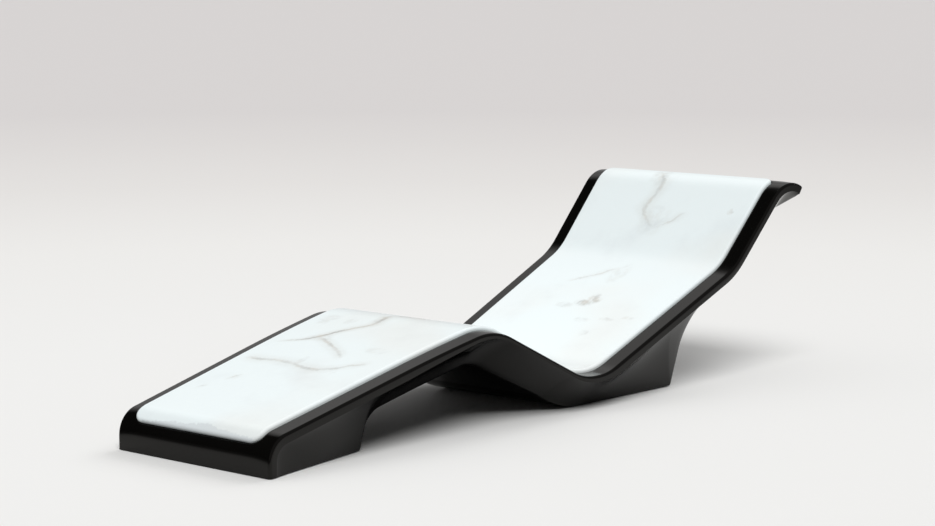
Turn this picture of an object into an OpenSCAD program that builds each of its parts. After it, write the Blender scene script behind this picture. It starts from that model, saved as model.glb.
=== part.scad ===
// Spa relaxation lounger: a moulded body that carries one long heated stone slab.
// X runs from the foot end to the head end, Y across, Z up. Lengths are in millimetres.
// The side profile is a route of straight runs and bends, walked from the floor at the foot end.

/* [Plan] */
// Width of the body across its foot end
foot_w = 515; // [480:5:560]
// Half width gained per millimetre of length towards the head
flare_share = 0.0415; // [0.03:0.0005:0.05]
// Width of the gloss rim beside the slab
band_w = 44; // [36:1:60]
// Height that the rim gains from its outer edge to the slab
band_rise = 3; // [1:0.5:5]
// Radius of the rim's outer edge
rim_edge_r = 7; // [4:0.5:10]
// Inward draft of the rim's side
strip_draft = 2; // [1:0.5:4]

/* [Side profile] */
// Straight height of the foot end before its nose turns over
nose_riser = 33; // [25:1:50]
// Radius of the nose
nose_r = 66; // [55:1:80]
// Slope of the calf rest at the foot
calf_angle = 13.5; // [11:0.5:16]
// Straight length of the calf rest
calf_len = 400; // [385:5:460]
// Length of the softly bowed part of the calf rest
shin_len = 250; // [200:5:300]
// Slope lost along the bowed part
shin_bow_angle = 2.3; // [1:0.1:4]
// Radius over the knees
knee_r = 200; // [170:5:230]
// Slope of the thigh rest
thigh_angle = 26.2; // [24:0.1:28]
// Straight length of the thigh rest
thigh_len = 260; // [230:5:280]
// Radius of the seat hollow
hip_r = 210; // [180:5:240]
// Slope of the lower back rest
back_angle = 22.8; // [20:0.1:26]
// Straight length of the lower back rest
back_len = 490; // [460:5:540]
// Radius of the bend between the lower and the upper back rest
kink_r = 216; // [190:2:240]
// Slope of the upper back rest
head_angle = 45.4; // [42:0.2:48]
// Straight length of the upper back rest
head_len = 217; // [180:1:250]
// Radius over the head end
crest_r = 113; // [105:1:125]
// Slope at which the lip points down behind the head
lip_angle = 29; // [22:1:34]
// Radius that rounds off the lip
lip_end_r = 9; // [6:1:12]

/* [Body depth] */
// Depth of the body under the calf rest
calf_t = 91; // [84:1:94]
// Depth of the body at the seat end of the thigh rest
thigh_t = 76; // [72:1:86]
// Depth of the body behind the upper back rest
blade_t = 38; // [36:1:44]
// Depth of the body at the lip of the head end
lip_t = 33; // [31:1:38]
// Distance ahead of the head end's bend at which its underside turns straight across
curl_lead = 12; // [5:1:20]
// Length of the foot block on the floor
foot_len = 363; // [340:1:380]
// Radius of the arch where it leaves the foot block
arch_r = 86; // [75:1:88]
// Length of the pedestal on the floor
pedestal_len = 415; // [390:5:430]
// Radius of the hollow behind the pedestal
rear_r = 157; // [140:1:170]
// Radius of the lower edges of the body
under_edge_r = 4; // [2:0.5:6]
// Inset of the underside edge below the calf and thigh rests
base_inset = 80; // [60:1:90]
// Inset of the pedestal at its rear on the floor
rear_inset = 90; // [70:1:100]
// Inset of the lower edge behind the back rest
blade_inset = 28; // [20:1:36]
// Inset of the lower edge behind the upper back rest
head_inset = 14; // [10:1:20]
// Height of the rim's side along the calf rest
calf_strip = 24; // [20:1:26]
// Height of the rim's side along the thigh rest
thigh_strip = 12; // [10:1:18]
// Wall of the lower moulding
wall_t = 5; // [3:0.5:6]
// Floor of the lower moulding, with the seat for the base plates
floor_t = 14; // [13.5:0.5:16]

/* [Slab and heating] */
// Thickness of the stone slab
slab_t = 20; // [18:0.5:24]
// Height of the slab's face above the outer edge of the rim
slab_proud = 12; // [9:0.5:14]
// Radius of the slab's upper edge
slab_edge_r = 8; // [5:0.5:10]
// Radius of the slab's corners at the foot end
slab_foot_r = 28; // [22:1:45]
// Radius of the slab's corners at the head end
slab_head_r = 26; // [20:1:35]
// Turn of the nose that the slab still covers
slab_nose_turn = 42; // [36:0.5:44]
// Turn of the head end that the slab covers
slab_crest_turn = 38; // [32:0.5:44]
// Width of the sealed joint round the slab
seal_gap = 3; // [2:0.5:4]
// Thickness of a heating mat
mat_t = 3; // [2:0.5:4]
// Thickness of the insulation under a heating mat
board_t = 10; // [8:0.5:12]
// Thickness of the tray under the insulation
tray_t = 5; // [4:0.5:6]
// Distance that the mats and boards stay inside the slab's sides
mat_inset = 24; // [15:1:35]
// Gap between neighbouring mats along the body
zone_gap = 14; // [8:1:24]

/* [Frame and base] */
// Height of a stiffening rail
rail_h = 30; // [24:1:36]
// Width of a stiffening rail
rail_w = 22; // [18:1:30]
// Distance of a rail from the centre plane
rail_y = 120; // [90:1:140]
// Thickness of a base plate
plate_t = 5; // [4:0.5:6]
// Width of the flange that a base plate screws to
flange_w = 22; // [18:1:26]
// Distance of the foot plate's front edge from the foot end
foot_plate_x = 110; // [100:1:125]
// Distance of the foot plate's rear edge from the rear of the foot block
foot_plate_back = 63; // [50:1:75]
// Distance of the pedestal plate's front edge from the front of the pedestal
pedestal_plate_x = 75; // [65:1:85]
// Distance of the pedestal plate's rear edge from the rear of the pedestal
pedestal_plate_back = 40; // [35:1:50]
// Radius of a plate screw's shank
screw_r = 2.5; // [2:0.25:3]
// Radius of a plate screw's head
screw_head_r = 5; // [4:0.25:6]
// Height of a plate screw's head
screw_head_h = 2.5; // [2:0.25:3]

/* [Levelling feet] */
// Radius of a foot's pad
pad_r = 20; // [16:1:24]
// Height of a foot's pad
pad_h = 6; // [5:0.5:8]
// Height of the body above the floor with the feet wound in
foot_gap = 2; // [1:0.5:3]
// Radius of a foot's stem
stem_r = 5; // [4:0.5:6]
// Length of a foot's stem above its pad
stem_len = 34; // [30:1:36]
// Outer radius of the threaded bush that holds a stem
bush_r = 9; // [8:0.5:11]
// Height of the threaded bush
bush_h = 16; // [14:1:20]

/* [Control gear] */
// Length of the control box
box_l = 150; // [130:5:160]
// Width of the control box
box_w = 110; // [90:5:120]
// Height of the control box
box_h = 46; // [40:1:52]
// Distance of the control box from the flange in front of it
box_gap = 5; // [3:1:10]
// Wall of the control box
box_wall = 3; // [2:0.5:4]
// Radius of the screw posts in the box's corners
post_r = 5; // [4:0.5:6]
// Radius of a lid screw's shank
lid_screw_r = 1.5; // [1:0.25:2]
// Length of a lid screw's shank
lid_screw_len = 16; // [12:1:20]
// Length of the low voltage transformer
trafo_l = 70; // [60:5:75]
// Width of the transformer
trafo_w = 60; // [50:5:70]
// Height of the transformer
trafo_h = 34; // [28:1:36]
// Thickness of the controller board with its parts
circuit_t = 3; // [2:0.5:6]
// Radius of the cable gland's bore
gland_bore_r = 5; // [4:0.5:6]
// Outer radius of the cable gland's body
gland_r = 10; // [9:0.5:12]
// Height of the cable gland inside the base
gland_h = 16; // [14:1:20]
// Thickness of the nut under the gland
nut_t = 3; // [2:0.5:3.5]
// Width of the collar and the nut round the gland
gland_rim = 3; // [2:0.5:4]
// Radius of the loom that feeds the mats
loom_r = 4; // [3:0.5:5]

/* [Hidden] */

// Every cut runs past its solid by this much
overrun = 1;
// Clearance between pieces that lie on each other
fit_gap = 0.3;
// Exact circles
round_fn = 48;
// Steps in the bends of the profile
nose_steps = 4;
bend_steps = 8;
corner_steps = 5;
tip_steps = 3;
// How far the section turns ahead of the foot block's rear
fan_share = 1.3;
// Where the first section meets the floor, as a share of the way to the foot plate
first_floor_share = 0.55;
first_floor_x = foot_plate_x * first_floor_share;
// Shape of the flank between the rim's side and the underside
flank_depth_share = 0.3;
flank_side_share = 0.5;
flank_end_share = 0.94;
// An edge's rounding is one facet, which starts this share of its radius from the side
edge_share = 0.3;

function bend(radius, turn) = [radius * abs(turn) * PI / 180, turn];

// Place after a share of one stretch: place is [x, z, heading], stretch is [length, turn]
function along(place, stretch, share = 1) =
    stretch[1] == 0
    ? [place[0] + stretch[0] * share * cos(place[2]), place[1] + stretch[0] * share * sin(place[2]), place[2]]
    : let (radius = stretch[0] / (stretch[1] * PI / 180), turned = place[2] + stretch[1] * share)
      [place[0] + radius * (sin(turned) - sin(place[2])),
       place[1] - radius * (cos(turned) - cos(place[2])),
       turned];

// Place at a distance along a route of stretches
function on_route(route, place, distance, i = 0) =
    i == len(route) - 1 || distance <= route[i][0]
    ? along(place, route[i], distance / route[i][0])
    : on_route(route, along(place, route[i]), distance - route[i][0], i + 1);

// Distance at which stretch i of a route starts
function start_of(route, i) = i == 0 ? 0 : route[i - 1][0] + start_of(route, i - 1);

function mix(a, b, share) = a + (b - a) * share;
function steps(a, b, count) = [for (i = [1:count]) mix(a, b, i / count)];

// The upper route follows the rim's outer edge
top_route = [
    [nose_riser, 0],
    bend(nose_r, calf_angle - 90),
    [calf_len, 0],
    [shin_len, -shin_bow_angle],
    bend(knee_r, shin_bow_angle - calf_angle - thigh_angle),
    [thigh_len, 0],
    bend(hip_r, thigh_angle + back_angle),
    [back_len, 0],
    bend(kink_r, head_angle - back_angle),
    [head_len, 0],
    bend(crest_r, -head_angle - lip_angle)
];
top_start = [0, 0, 90];
function top_at(s) = on_route(top_route, top_start, s);
s_nose = start_of(top_route, 1);
s_calf = start_of(top_route, 2);
s_shin = start_of(top_route, 3);
s_knee = start_of(top_route, 4);
s_thigh = start_of(top_route, 5);
s_hip = start_of(top_route, 6);
s_back = start_of(top_route, 7);
s_kink = start_of(top_route, 8);
s_head = start_of(top_route, 9);
s_crest = start_of(top_route, 10);
s_end = start_of(top_route, 11);
s_low = s_hip + bend(hip_r, thigh_angle)[0];

// Point at a depth below the upper route
function below(place, depth) =
    [place[0] + depth * sin(place[2]), place[1] - depth * cos(place[2]), place[2]];
function half_w(x) = foot_w / 2 + flare_share * x;

// The foot block's rear and the arch, tangent to the underside of the calf rest
calf_place = top_at(s_calf);
calf_under = below(calf_place, calf_t);
arch_z = calf_under[1] + tan(calf_angle) * (foot_len + arch_r - calf_under[0]) - arch_r / cos(calf_angle);
arch_end = [foot_len + arch_r - arch_r * sin(calf_angle), arch_z + arch_r * cos(calf_angle)];
s_arch = s_calf + (arch_end[0] - calf_place[0]) * cos(calf_angle)
    + (arch_end[1] - calf_place[1]) * sin(calf_angle);
s_heel = s_arch - fan_share * (arch_end[0] - foot_len);
foot_floor = foot_len - first_floor_x - under_edge_r;
foot_under = [
    [foot_floor, 0],
    bend(under_edge_r, 90),
    [arch_z - under_edge_r, 0],
    bend(arch_r, calf_angle - 90)
];

// The pedestal's rear, tangent to the underside of the back rest
low_place = top_at(s_low);
pedestal_x = low_place[0];
rear_x = pedestal_x + pedestal_len;
back_place = top_at(s_back);
back_under = below(back_place, blade_t);
rear_z = back_under[1] + tan(back_angle) * (rear_x + rear_r - back_under[0]) - rear_r / cos(back_angle);
rear_end = [rear_x + rear_r - rear_r * sin(back_angle), rear_z + rear_r * cos(back_angle)];
s_blade = s_back + (rear_end[0] - back_place[0]) * cos(back_angle)
    + (rear_end[1] - back_place[1]) * sin(back_angle);
pedestal_under = [
    [pedestal_len - under_edge_r, 0],
    bend(under_edge_r, 90),
    [rear_z - under_edge_r, 0],
    bend(rear_r, back_angle - 90)
];
pedestal_under_len = start_of(pedestal_under, 4);
s_rear = mix(s_low, s_blade, pedestal_under[0][0] / pedestal_under_len);

// The slab's ends and the recess round it
slab_start = s_calf - bend(nose_r, slab_nose_turn)[0];
slab_end = s_crest + bend(crest_r, slab_crest_turn)[0];
recess_start = slab_start - seal_gap;
recess_end = slab_end + seal_gap;
slab_bottom = slab_t - slab_proud;
mat_top = slab_bottom + fit_gap;
board_top = mat_top + mat_t + fit_gap;
tray_top = board_top + board_t + fit_gap;
tray_bottom = tray_top + tray_t;
recess_draft = 1.5;

// How far a rounded corner draws in a side at a distance from the end
function corner(distance, radius) =
    distance >= radius ? 0 : radius - sqrt(radius * radius - pow(radius - max(0, distance), 2));
// Distances from an end that step round a corner evenly
function corner_at(radius) = [for (i = [1:corner_steps]) radius * (1 - cos(90 * i / corner_steps))];

// Stations of the body: [distance on the upper route, [x, z, heading] of the underside, inset there,
// and at the lip's tip the drop of its face]
foot_s = concat([0, nose_riser], steps(nose_riser, recess_start, nose_steps),
    [for (d = corner_at(slab_foot_r + seal_gap)) recess_start + d],
    [s_calf], steps(s_calf, s_heel, 3));
foot_stations = [for (s = foot_s)
    let (x = first_floor_x + foot_floor * s / s_heel)
    [s, [x, 0, 0], base_inset * x / foot_len]];
arch_q = concat(steps(foot_floor, start_of(foot_under, 2), 2), [start_of(foot_under, 3)],
    steps(start_of(foot_under, 3), start_of(foot_under, 4), bend_steps));
arch_stations = [for (q = arch_q)
    [mix(s_heel, s_arch, (q - foot_floor) / (start_of(foot_under, 4) - foot_floor)),
     on_route(foot_under, [first_floor_x, 0, 0], q), base_inset]];
ribbon_s = concat(steps(s_arch, s_shin, 1), steps(s_shin, s_knee, 3), steps(s_knee, s_thigh, bend_steps),
    steps(s_thigh, s_hip, 2), steps(s_hip, s_low, bend_steps));
ribbon_stations = [for (s = ribbon_s)
    [s, below(top_at(s), lookup(s, [[s_knee, calf_t], [s_hip, thigh_t], [s_low, low_place[1]]])),
     base_inset]];
pedestal_s = concat(steps(s_low, s_back, bend_steps), steps(s_back, s_rear, 5));
pedestal_stations = [for (s = pedestal_s)
    let (x = pedestal_x + pedestal_under[0][0] * (s - s_low) / (s_rear - s_low))
    [s, [x, 0, 0], mix(base_inset, rear_inset, (x - pedestal_x) / pedestal_len)]];
rear_q = concat(steps(pedestal_under[0][0], start_of(pedestal_under, 2), 2),
    steps(start_of(pedestal_under, 2), start_of(pedestal_under, 3), 2),
    steps(start_of(pedestal_under, 3), pedestal_under_len, bend_steps));
rear_stations = [for (q = rear_q)
    let (under = on_route(pedestal_under, [pedestal_x, 0, 0], q))
    [mix(s_low, s_blade, q / pedestal_under_len), under,
     mix(rear_inset, blade_inset, under[1] / rear_end[1])]];
s_curl = s_crest - curl_lead;
blade_s = concat(steps(s_blade, s_kink, 1), steps(s_kink, s_head, bend_steps), steps(s_head, s_curl, 2));
blade_stations = [for (s = blade_s)
    [s, below(top_at(s), blade_t), lookup(s, [[s_blade, blade_inset], [s_head, head_inset]])]];
lip_s = concat([s_crest], steps(s_crest, recess_end - slab_head_r - seal_gap, 4),
    [for (i = [corner_steps - 1:-1:1]) recess_end - corner_at(slab_head_r + seal_gap)[i - 1]],
    [recess_end], steps(recess_end, s_end - lip_end_r, 4));
// The underside runs straight across below the curl of the head end
function lip_under(s) =
    mix(below(top_at(s_curl), blade_t), below(top_at(s_end), lip_t), (s - s_curl) / (s_end - s_curl));
lip_stations = [for (s = lip_s) [s, lip_under(s), head_inset]];
tip_stations = [for (i = [1:tip_steps])
    let (turn = 90 * i / tip_steps, s = s_end - lip_end_r + lip_end_r * sin(turn),
        drop = lip_end_r * (1 - cos(turn)))
    [s, lip_under(s), head_inset + drop / 2, drop]];
stations = concat(foot_stations, arch_stations, ribbon_stations, pedestal_stations, rear_stations,
    blade_stations, lip_stations, tip_stations);

function strip_at(s) = lookup(s, [[s_shin, calf_strip], [s_thigh, thigh_strip], [s_hip, thigh_strip],
    [s_back, calf_strip]]);
function rise_at(s) =
    band_rise * lookup(s, [[nose_riser, 0], [recess_start, 1], [recess_end, 1], [s_end, 0]]);
function recess_inset(s) = band_w
    + corner(s - recess_start, slab_foot_r + seal_gap) + corner(recess_end - s, slab_head_r + seal_gap);
function in_recess(s) = s > recess_start + recess_draft / 2 && s < recess_end - recess_draft / 2;

// A point of a section: place on the upper route, depth below it and distance from the centre plane
function at(place, depth, y) = let (p = below(place, depth)) [p[0], y, p[1]];
function mirrored(points) = [for (i = [len(points) - 1:-1:0]) [points[i][0], -points[i][1], points[i][2]]];

// Skin over a row of like sections, closed at both ends
module loft(sections) {
    n = len(sections[0]);
    m = len(sections);
    polyhedron(
        points = [for (section = sections) each section],
        faces = concat(
            [[for (i = [0:n - 1]) i]],
            [for (k = [0:m - 2], i = [0:n - 1], upper = [0, 1])
                let (a = k * n + i, b = k * n + (i + 1) % n)
                upper == 0 ? [a, b + n, b] : [a, a + n, b + n]],
            [[for (i = [n - 1:-1:0]) (m - 1) * n + i]]));
}

// Length of the whole body, which is centred on the origin
overall_len = max([for (st = stations, p = top_section(st)) p[0]]);
module placed() {
    translate([-overall_len / 2, 0, foot_gap]) children();
}

function drop_of(st) = is_undef(st[3]) ? 0 : st[3];

// Section of the upper moulding
function top_section(st) =
    let (s = st[0], place = top_at(s), w = half_w(place[0]), drop = drop_of(st),
        rise = rise_at(s), strip = strip_at(s), inner = w - recess_inset(s), side = w - drop / 2,
        edge = rim_edge_r * edge_share,
        right = [
            at(place, in_recess(s) ? tray_bottom : strip - fit_gap, w - band_w),
            at(place, strip, side - strip_draft - wall_t - fit_gap),
            at(place, strip, side - strip_draft),
            at(place, max(rim_edge_r, drop), side),
            at(place, max(edge, drop - fit_gap), side - edge),
            at(place, drop, side - rim_edge_r),
            at(place, drop - rise, inner),
            at(place, in_recess(s) ? tray_top : drop - rise, inner - recess_draft)])
    concat(right, mirrored(right));

// The flank runs down and inwards from the rim's side along a soft curve
function flank_depth(t) = 2 * t * (1 - t) * flank_depth_share + t * t;
function flank_side(t) = 2 * t * (1 - t) * flank_side_share + t * t;

// Inner end of a section: on the moulding's floor, or a wall's thickness inside the underside
function inner_foot(foot) =
    let (edge_x = foot[0] > foot_len + overrun ? rear_x : foot_len)
    foot[1] < floor_t
    ? [min(foot[0], edge_x - wall_t * (2 - foot[2] / 90)), floor_t]
    : [foot[0] - wall_t * sin(foot[2]), foot[1] + wall_t * cos(foot[2])];

// Section of the lower moulding: a channel with its walls, or a full section where the cavity ends
function under_section(st, hollow) =
    let (place = top_at(st[0]), rim = below(place, strip_at(st[0])), foot = st[1],
        w = half_w(place[0]) - strip_draft - drop_of(st) / 2, w_foot = half_w(foot[0]) - st[2],
        end = hollow ? inner_foot(foot) : rim,
        cavity = hollow ? (rim[1] - end[1]) / (rim[1] - foot[1]) : 0,
        flank = [for (t = [0, 1 / 3, 2 / 3, flank_end_share])
            let (p = mix(rim, foot, flank_depth(t)))
            [p[0], mix(w, w_foot, flank_side(t)), p[1]]],
        outer = concat(flank, [[foot[0], w_foot - under_edge_r, foot[1]]]),
        upward = [for (i = [len(outer) - 1:-1:0]) outer[i]],
        inner = concat(
            [for (t = [0, 1 / 3, 2 / 3])
                let (p = mix(rim, foot, min(cavity, flank_depth(t))))
                [p[0], mix(w, w_foot, flank_side(t)) - wall_t - t * under_edge_r, p[1]]],
            [[end[0], w_foot - wall_t - under_edge_r, end[1]]]))
    concat(upward, inner, mirrored(inner), mirrored(upward));

module top_shell() {
    color([0.03, 0.03, 0.03])
    placed() loft([for (st = stations) top_section(st)]);
}

// The base plates lie in seats under the moulding's floor, above the pads of the feet
plate_z = pad_h - foot_gap + fit_gap;
plate_margin = flange_w;
screw_gap = 0.1;
screw_len = floor_t - plate_z;
function floor_half(x) = half_w(x) - (x < pedestal_x
    ? base_inset * x / foot_len
    : mix(base_inset, rear_inset, (x - pedestal_x) / pedestal_len));
foot_plate = [foot_plate_x, foot_len - foot_plate_back];
pedestal_plate = [pedestal_x + pedestal_plate_x, rear_x - pedestal_plate_back];
module plate_outline(plate, inset) {
    x0 = plate[0] + inset;
    x1 = plate[1] - inset;
    y0 = floor_half(plate[0]) - plate_margin - inset;
    y1 = floor_half(plate[1]) - plate_margin - inset;
    polygon([[x0, -y0], [x1, -y1], [x1, y1], [x0, y0]]);
}
module plate_opening(plate) {
    translate([0, 0, -overrun]) linear_extrude(overrun + plate_z + plate_t + fit_gap) plate_outline(plate, 0);
    translate([0, 0, plate_z]) linear_extrude(floor_t - plate_z + overrun) plate_outline(plate, flange_w);
}

module under_shell() {
    color([0.03, 0.03, 0.03])
    placed() difference() {
        loft([for (i = [0:len(stations) - 1])
            under_section(stations[i], i > 1 && i < len(stations) - 6)]);
        plate_opening(foot_plate);
        plate_opening(pedestal_plate);
        for (p = concat(plate_screws(foot_plate), plate_screws(pedestal_plate)))
            translate([p[0], p[1], plate_z])
                cylinder(h = floor_t - plate_z + overrun, r = screw_r + screw_gap, $fn = round_fn);
    }
}

// Distances along the slab: its rounded edge, its rounded corners and the stations between them
slab_edge = [for (share = [0, 1 / 8, 1 / 2, 1]) slab_edge_r * share];
function slab_end_steps(radius) =
    concat(slab_edge, [for (d = corner_at(radius)) if (d > slab_edge_r + overrun) d]);
foot_end_steps = slab_end_steps(slab_foot_r);
head_end_steps = slab_end_steps(slab_head_r);
slab_mid = [for (st = stations) if (st[0] > slab_start + slab_foot_r + overrun
    && st[0] < slab_end - slab_head_r - overrun) st[0]];
slab_s = concat([for (d = foot_end_steps) slab_start + d], slab_mid,
    [for (i = [len(head_end_steps) - 1:-1:0]) slab_end - head_end_steps[i]]);
function slab_half(s) = half_w(top_at(s)[0]) - band_w - seal_gap
    - corner(s - slab_start, slab_foot_r) - corner(slab_end - s, slab_head_r);
function slab_section(s) =
    let (place = top_at(s), a = slab_half(s), end = min(s - slab_start, slab_end - s),
        drop = corner(end, slab_edge_r), top = -slab_proud, edge = slab_edge_r * edge_share,
        right = [
            at(place, slab_bottom, a),
            at(place, top + max(slab_edge_r, drop), a),
            at(place, top + max(edge, drop), a - edge),
            at(place, top + drop, a - slab_edge_r)])
    concat(right, mirrored(right));

module marble_slab() {
    color([0.95, 0.97, 0.97])
    placed() loft([for (s = slab_s) slab_section(s)]);
}

// The seal fills the joint between the slab's side and the recess, as one closed loop
seal_top = -band_rise / 2;
seal_bottom = slab_bottom;
seal_steps = 2 * corner_steps;
seal_w = seal_gap - 3 * fit_gap;
function seal_ring(s, side) =
    let (place = top_at(s), a = slab_half(s) + fit_gap, b = a + seal_w)
    [at(place, seal_top, side * a), at(place, seal_top, side * b),
     at(place, seal_bottom, side * (b - recess_draft)), at(place, seal_bottom, side * a)];
// Round a corner the ring turns about the corner's own centre
function seal_corner(end, radius, side, angle) =
    let (way = end > s_knee ? -1 : 1, centre_s = end + way * radius, r_in = radius + fit_gap,
        ring = [[r_in, seal_top], [r_in + seal_w, seal_top],
            [r_in + seal_w - recess_draft, seal_bottom], [r_in, seal_bottom]])
    [for (p = ring)
        let (place = top_at(centre_s - way * p[0] * cos(angle)),
            y_c = half_w(place[0]) - band_w - seal_gap - radius)
        at(place, p[1], side * (y_c + p[0] * sin(angle)))];
seal_rings = concat(
    [for (i = [0:seal_steps]) seal_corner(slab_start, slab_foot_r, 1, 90 * i / seal_steps)],
    [for (s = slab_mid) seal_ring(s, 1)],
    [for (i = [seal_steps:-1:0]) seal_corner(slab_end, slab_head_r, 1, 90 * i / seal_steps)],
    [for (i = [0:seal_steps]) seal_corner(slab_end, slab_head_r, -1, 90 * i / seal_steps)],
    [for (i = [len(slab_mid) - 1:-1:0]) seal_ring(slab_mid[i], -1)],
    [for (i = [seal_steps:-1:0]) seal_corner(slab_start, slab_foot_r, -1, 90 * i / seal_steps)]);

module slab_seal() {
    n = 4;
    m = len(seal_rings);
    color([0.12, 0.12, 0.12])
    placed() polyhedron(
        points = [for (ring = seal_rings) each ring],
        faces = [for (k = [0:m - 1], i = [0:n - 1], upper = [0, 1])
            let (a = k * n + i, b = k * n + (i + 1) % n,
                c = ((k + 1) % m) * n + i, d = ((k + 1) % m) * n + (i + 1) % n)
            upper == 0 ? [a, b, d] : [a, d, c]]);
}

// A layer that follows the body between two distances along it
module layer(from, to, top, bottom, inset) {
    row = concat([from],
        [for (st = stations) if (st[0] > from + overrun && st[0] < to - overrun) st[0]], [to]);
    placed() loft([for (s = row)
        let (place = top_at(s), a = half_w(place[0]) - band_w - inset)
        [at(place, bottom, a), at(place, top, a), at(place, top, -a), at(place, bottom, -a)]]);
}
calf_zone = [s_calf, s_knee - zone_gap / 2];
seat_zone = [s_knee + zone_gap / 2, s_back - zone_gap / 2];
back_zone = [s_back + zone_gap / 2, s_crest];
module heating_mat(zone) {
    color([0.75, 0.35, 0.2]) layer(zone[0], zone[1], mat_top, mat_top + mat_t, mat_inset);
}
module insulation(zone) {
    color([0.85, 0.8, 0.55]) layer(zone[0], zone[1], board_top, board_top + board_t, mat_inset);
}

// Plywood rails under the tray, from the foot block to the pedestal's rear
rail_top = tray_bottom + fit_gap;
module rail(side) {
    row = [for (st = stations) if (st[0] > s_calf && st[0] < s_rear) st[0]];
    color([0.72, 0.58, 0.4])
    placed() loft([for (s = row)
        let (place = top_at(s), a = side * rail_y + rail_w / 2, b = side * rail_y - rail_w / 2,
            deep = rail_top + rail_h)
        [at(place, deep, a), at(place, rail_top, a), at(place, rail_top, b), at(place, deep, b)]]);
}

// Plywood rib across the body between the rails, from the moulding's floor to the tray
rib_t = rail_w / 2;
module rib(s) {
    place = top_at(s);
    p = below(place, rail_top);
    w = 2 * (rail_y - rail_w / 2 - fit_gap);
    color([0.72, 0.58, 0.4])
    placed() translate([0, w / 2, 0]) rotate([90, 0, 0]) linear_extrude(w) polygon([
        [p[0], floor_t + fit_gap], [p[0] + rib_t, floor_t + fit_gap],
        [p[0] + rib_t, p[1] + rib_t * tan(place[2])], [p[0], p[1]]]);
}
// Distance along the route of the point whose tray underside is over an x on a straight part
function s_over(x, place, s0) =
    let (p = below(place, rail_top)) s0 + (x - p[0]) / cos(place[2]);
// Distances of the ribs along the body: one beyond each end of each base plate
rib_front_share = 1.4;
rib_s = [s_over(foot_plate[0] - rib_front_share * rib_t, calf_place, s_calf),
    s_over(foot_plate[1] + rib_t, calf_place, s_calf), s_low + pedestal_plate_x / 2,
    s_over(pedestal_plate[1] + rib_t / 2, back_place, s_back)];

// Feet: pad, stem and the threaded bushes that carry them in the base plates
pad_edge = pad_r + flange_w;
// The foot block's feet stand this share of the way along their plate
foot_place_share = 1 / 3;
foot_x = mix(foot_plate[0], foot_plate[1], foot_place_share);
mid_x = pedestal_plate[0] + pad_edge;
last_x = pedestal_plate[1] - pad_edge;
function foot_y(x) = floor_half(x) - plate_margin - pad_edge;
stem_gap = 0.05;
module foot(x, side) {
    color([0.25, 0.25, 0.27])
    placed() translate([x, side * foot_y(x), -foot_gap]) {
        cylinder(h = pad_h, r = pad_r, $fn = round_fn);
        cylinder(h = pad_h + stem_len, r = stem_r, $fn = round_fn);
    }
}
module bush(x, side) {
    translate([x, side * foot_y(x), plate_z]) difference() {
        cylinder(h = bush_h, r = bush_r, $fn = round_fn);
        translate([0, 0, -overrun]) cylinder(h = bush_h + 2 * overrun, r = stem_r + stem_gap, $fn = round_fn);
    }
}
module foot_bushes() {
    color([0.8, 0.7, 0.35]) placed() for (side = [-1, 1]) bush(foot_x, side);
}
module pedestal_bushes() {
    color([0.8, 0.7, 0.35]) placed() for (x = [mid_x, last_x], side = [-1, 1]) bush(x, side);
}

// Screws near a plate's corners and at the middle of its long sides
function plate_screws(plate) =
    [for (x = [plate[0] + flange_w / 2, (plate[0] + plate[1]) / 2, plate[1] - flange_w / 2], side = [-1, 1])
        let (edge = mix(floor_half(plate[0]), floor_half(plate[1]), (x - plate[0]) / (plate[1] - plate[0])))
        [x, side * (edge - plate_margin - flange_w / 2)]];
module base_plate(plate, bush_places) {
    color([0.6, 0.62, 0.64])
    placed() translate([0, 0, plate_z]) difference() {
        linear_extrude(plate_t) plate_outline(plate, fit_gap);
        for (p = plate_screws(plate)) translate([p[0], p[1], -overrun])
            cylinder(h = plate_t + 2 * overrun, r = screw_r + screw_gap, $fn = round_fn);
        for (p = bush_places) translate([p[0], p[1], -overrun])
            cylinder(h = plate_t + 2 * overrun, r = p[2] + screw_gap, $fn = round_fn);
    }
}
module plate_screw_set(plate) {
    color([0.7, 0.7, 0.72])
    placed() for (p = plate_screws(plate)) translate([p[0], p[1], plate_z - screw_head_h]) {
        cylinder(h = screw_head_h, r = screw_head_r, $fn = round_fn);
        cylinder(h = screw_head_h + screw_len, r = screw_r, $fn = round_fn);
    }
}
gland_x = pedestal_plate[1] - flange_w - gland_r - gland_rim - nut_t;
gland_y = -box_w / 4;
module foot_base_plate() {
    base_plate(foot_plate, [for (side = [-1, 1]) [foot_x, side * foot_y(foot_x), bush_r]]);
}
module pedestal_base_plate() {
    bushes = [for (x = [mid_x, last_x], side = [-1, 1]) [x, side * foot_y(x), bush_r]];
    base_plate(pedestal_plate, concat(bushes, [[gland_x, gland_y, gland_r]]));
}

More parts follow.
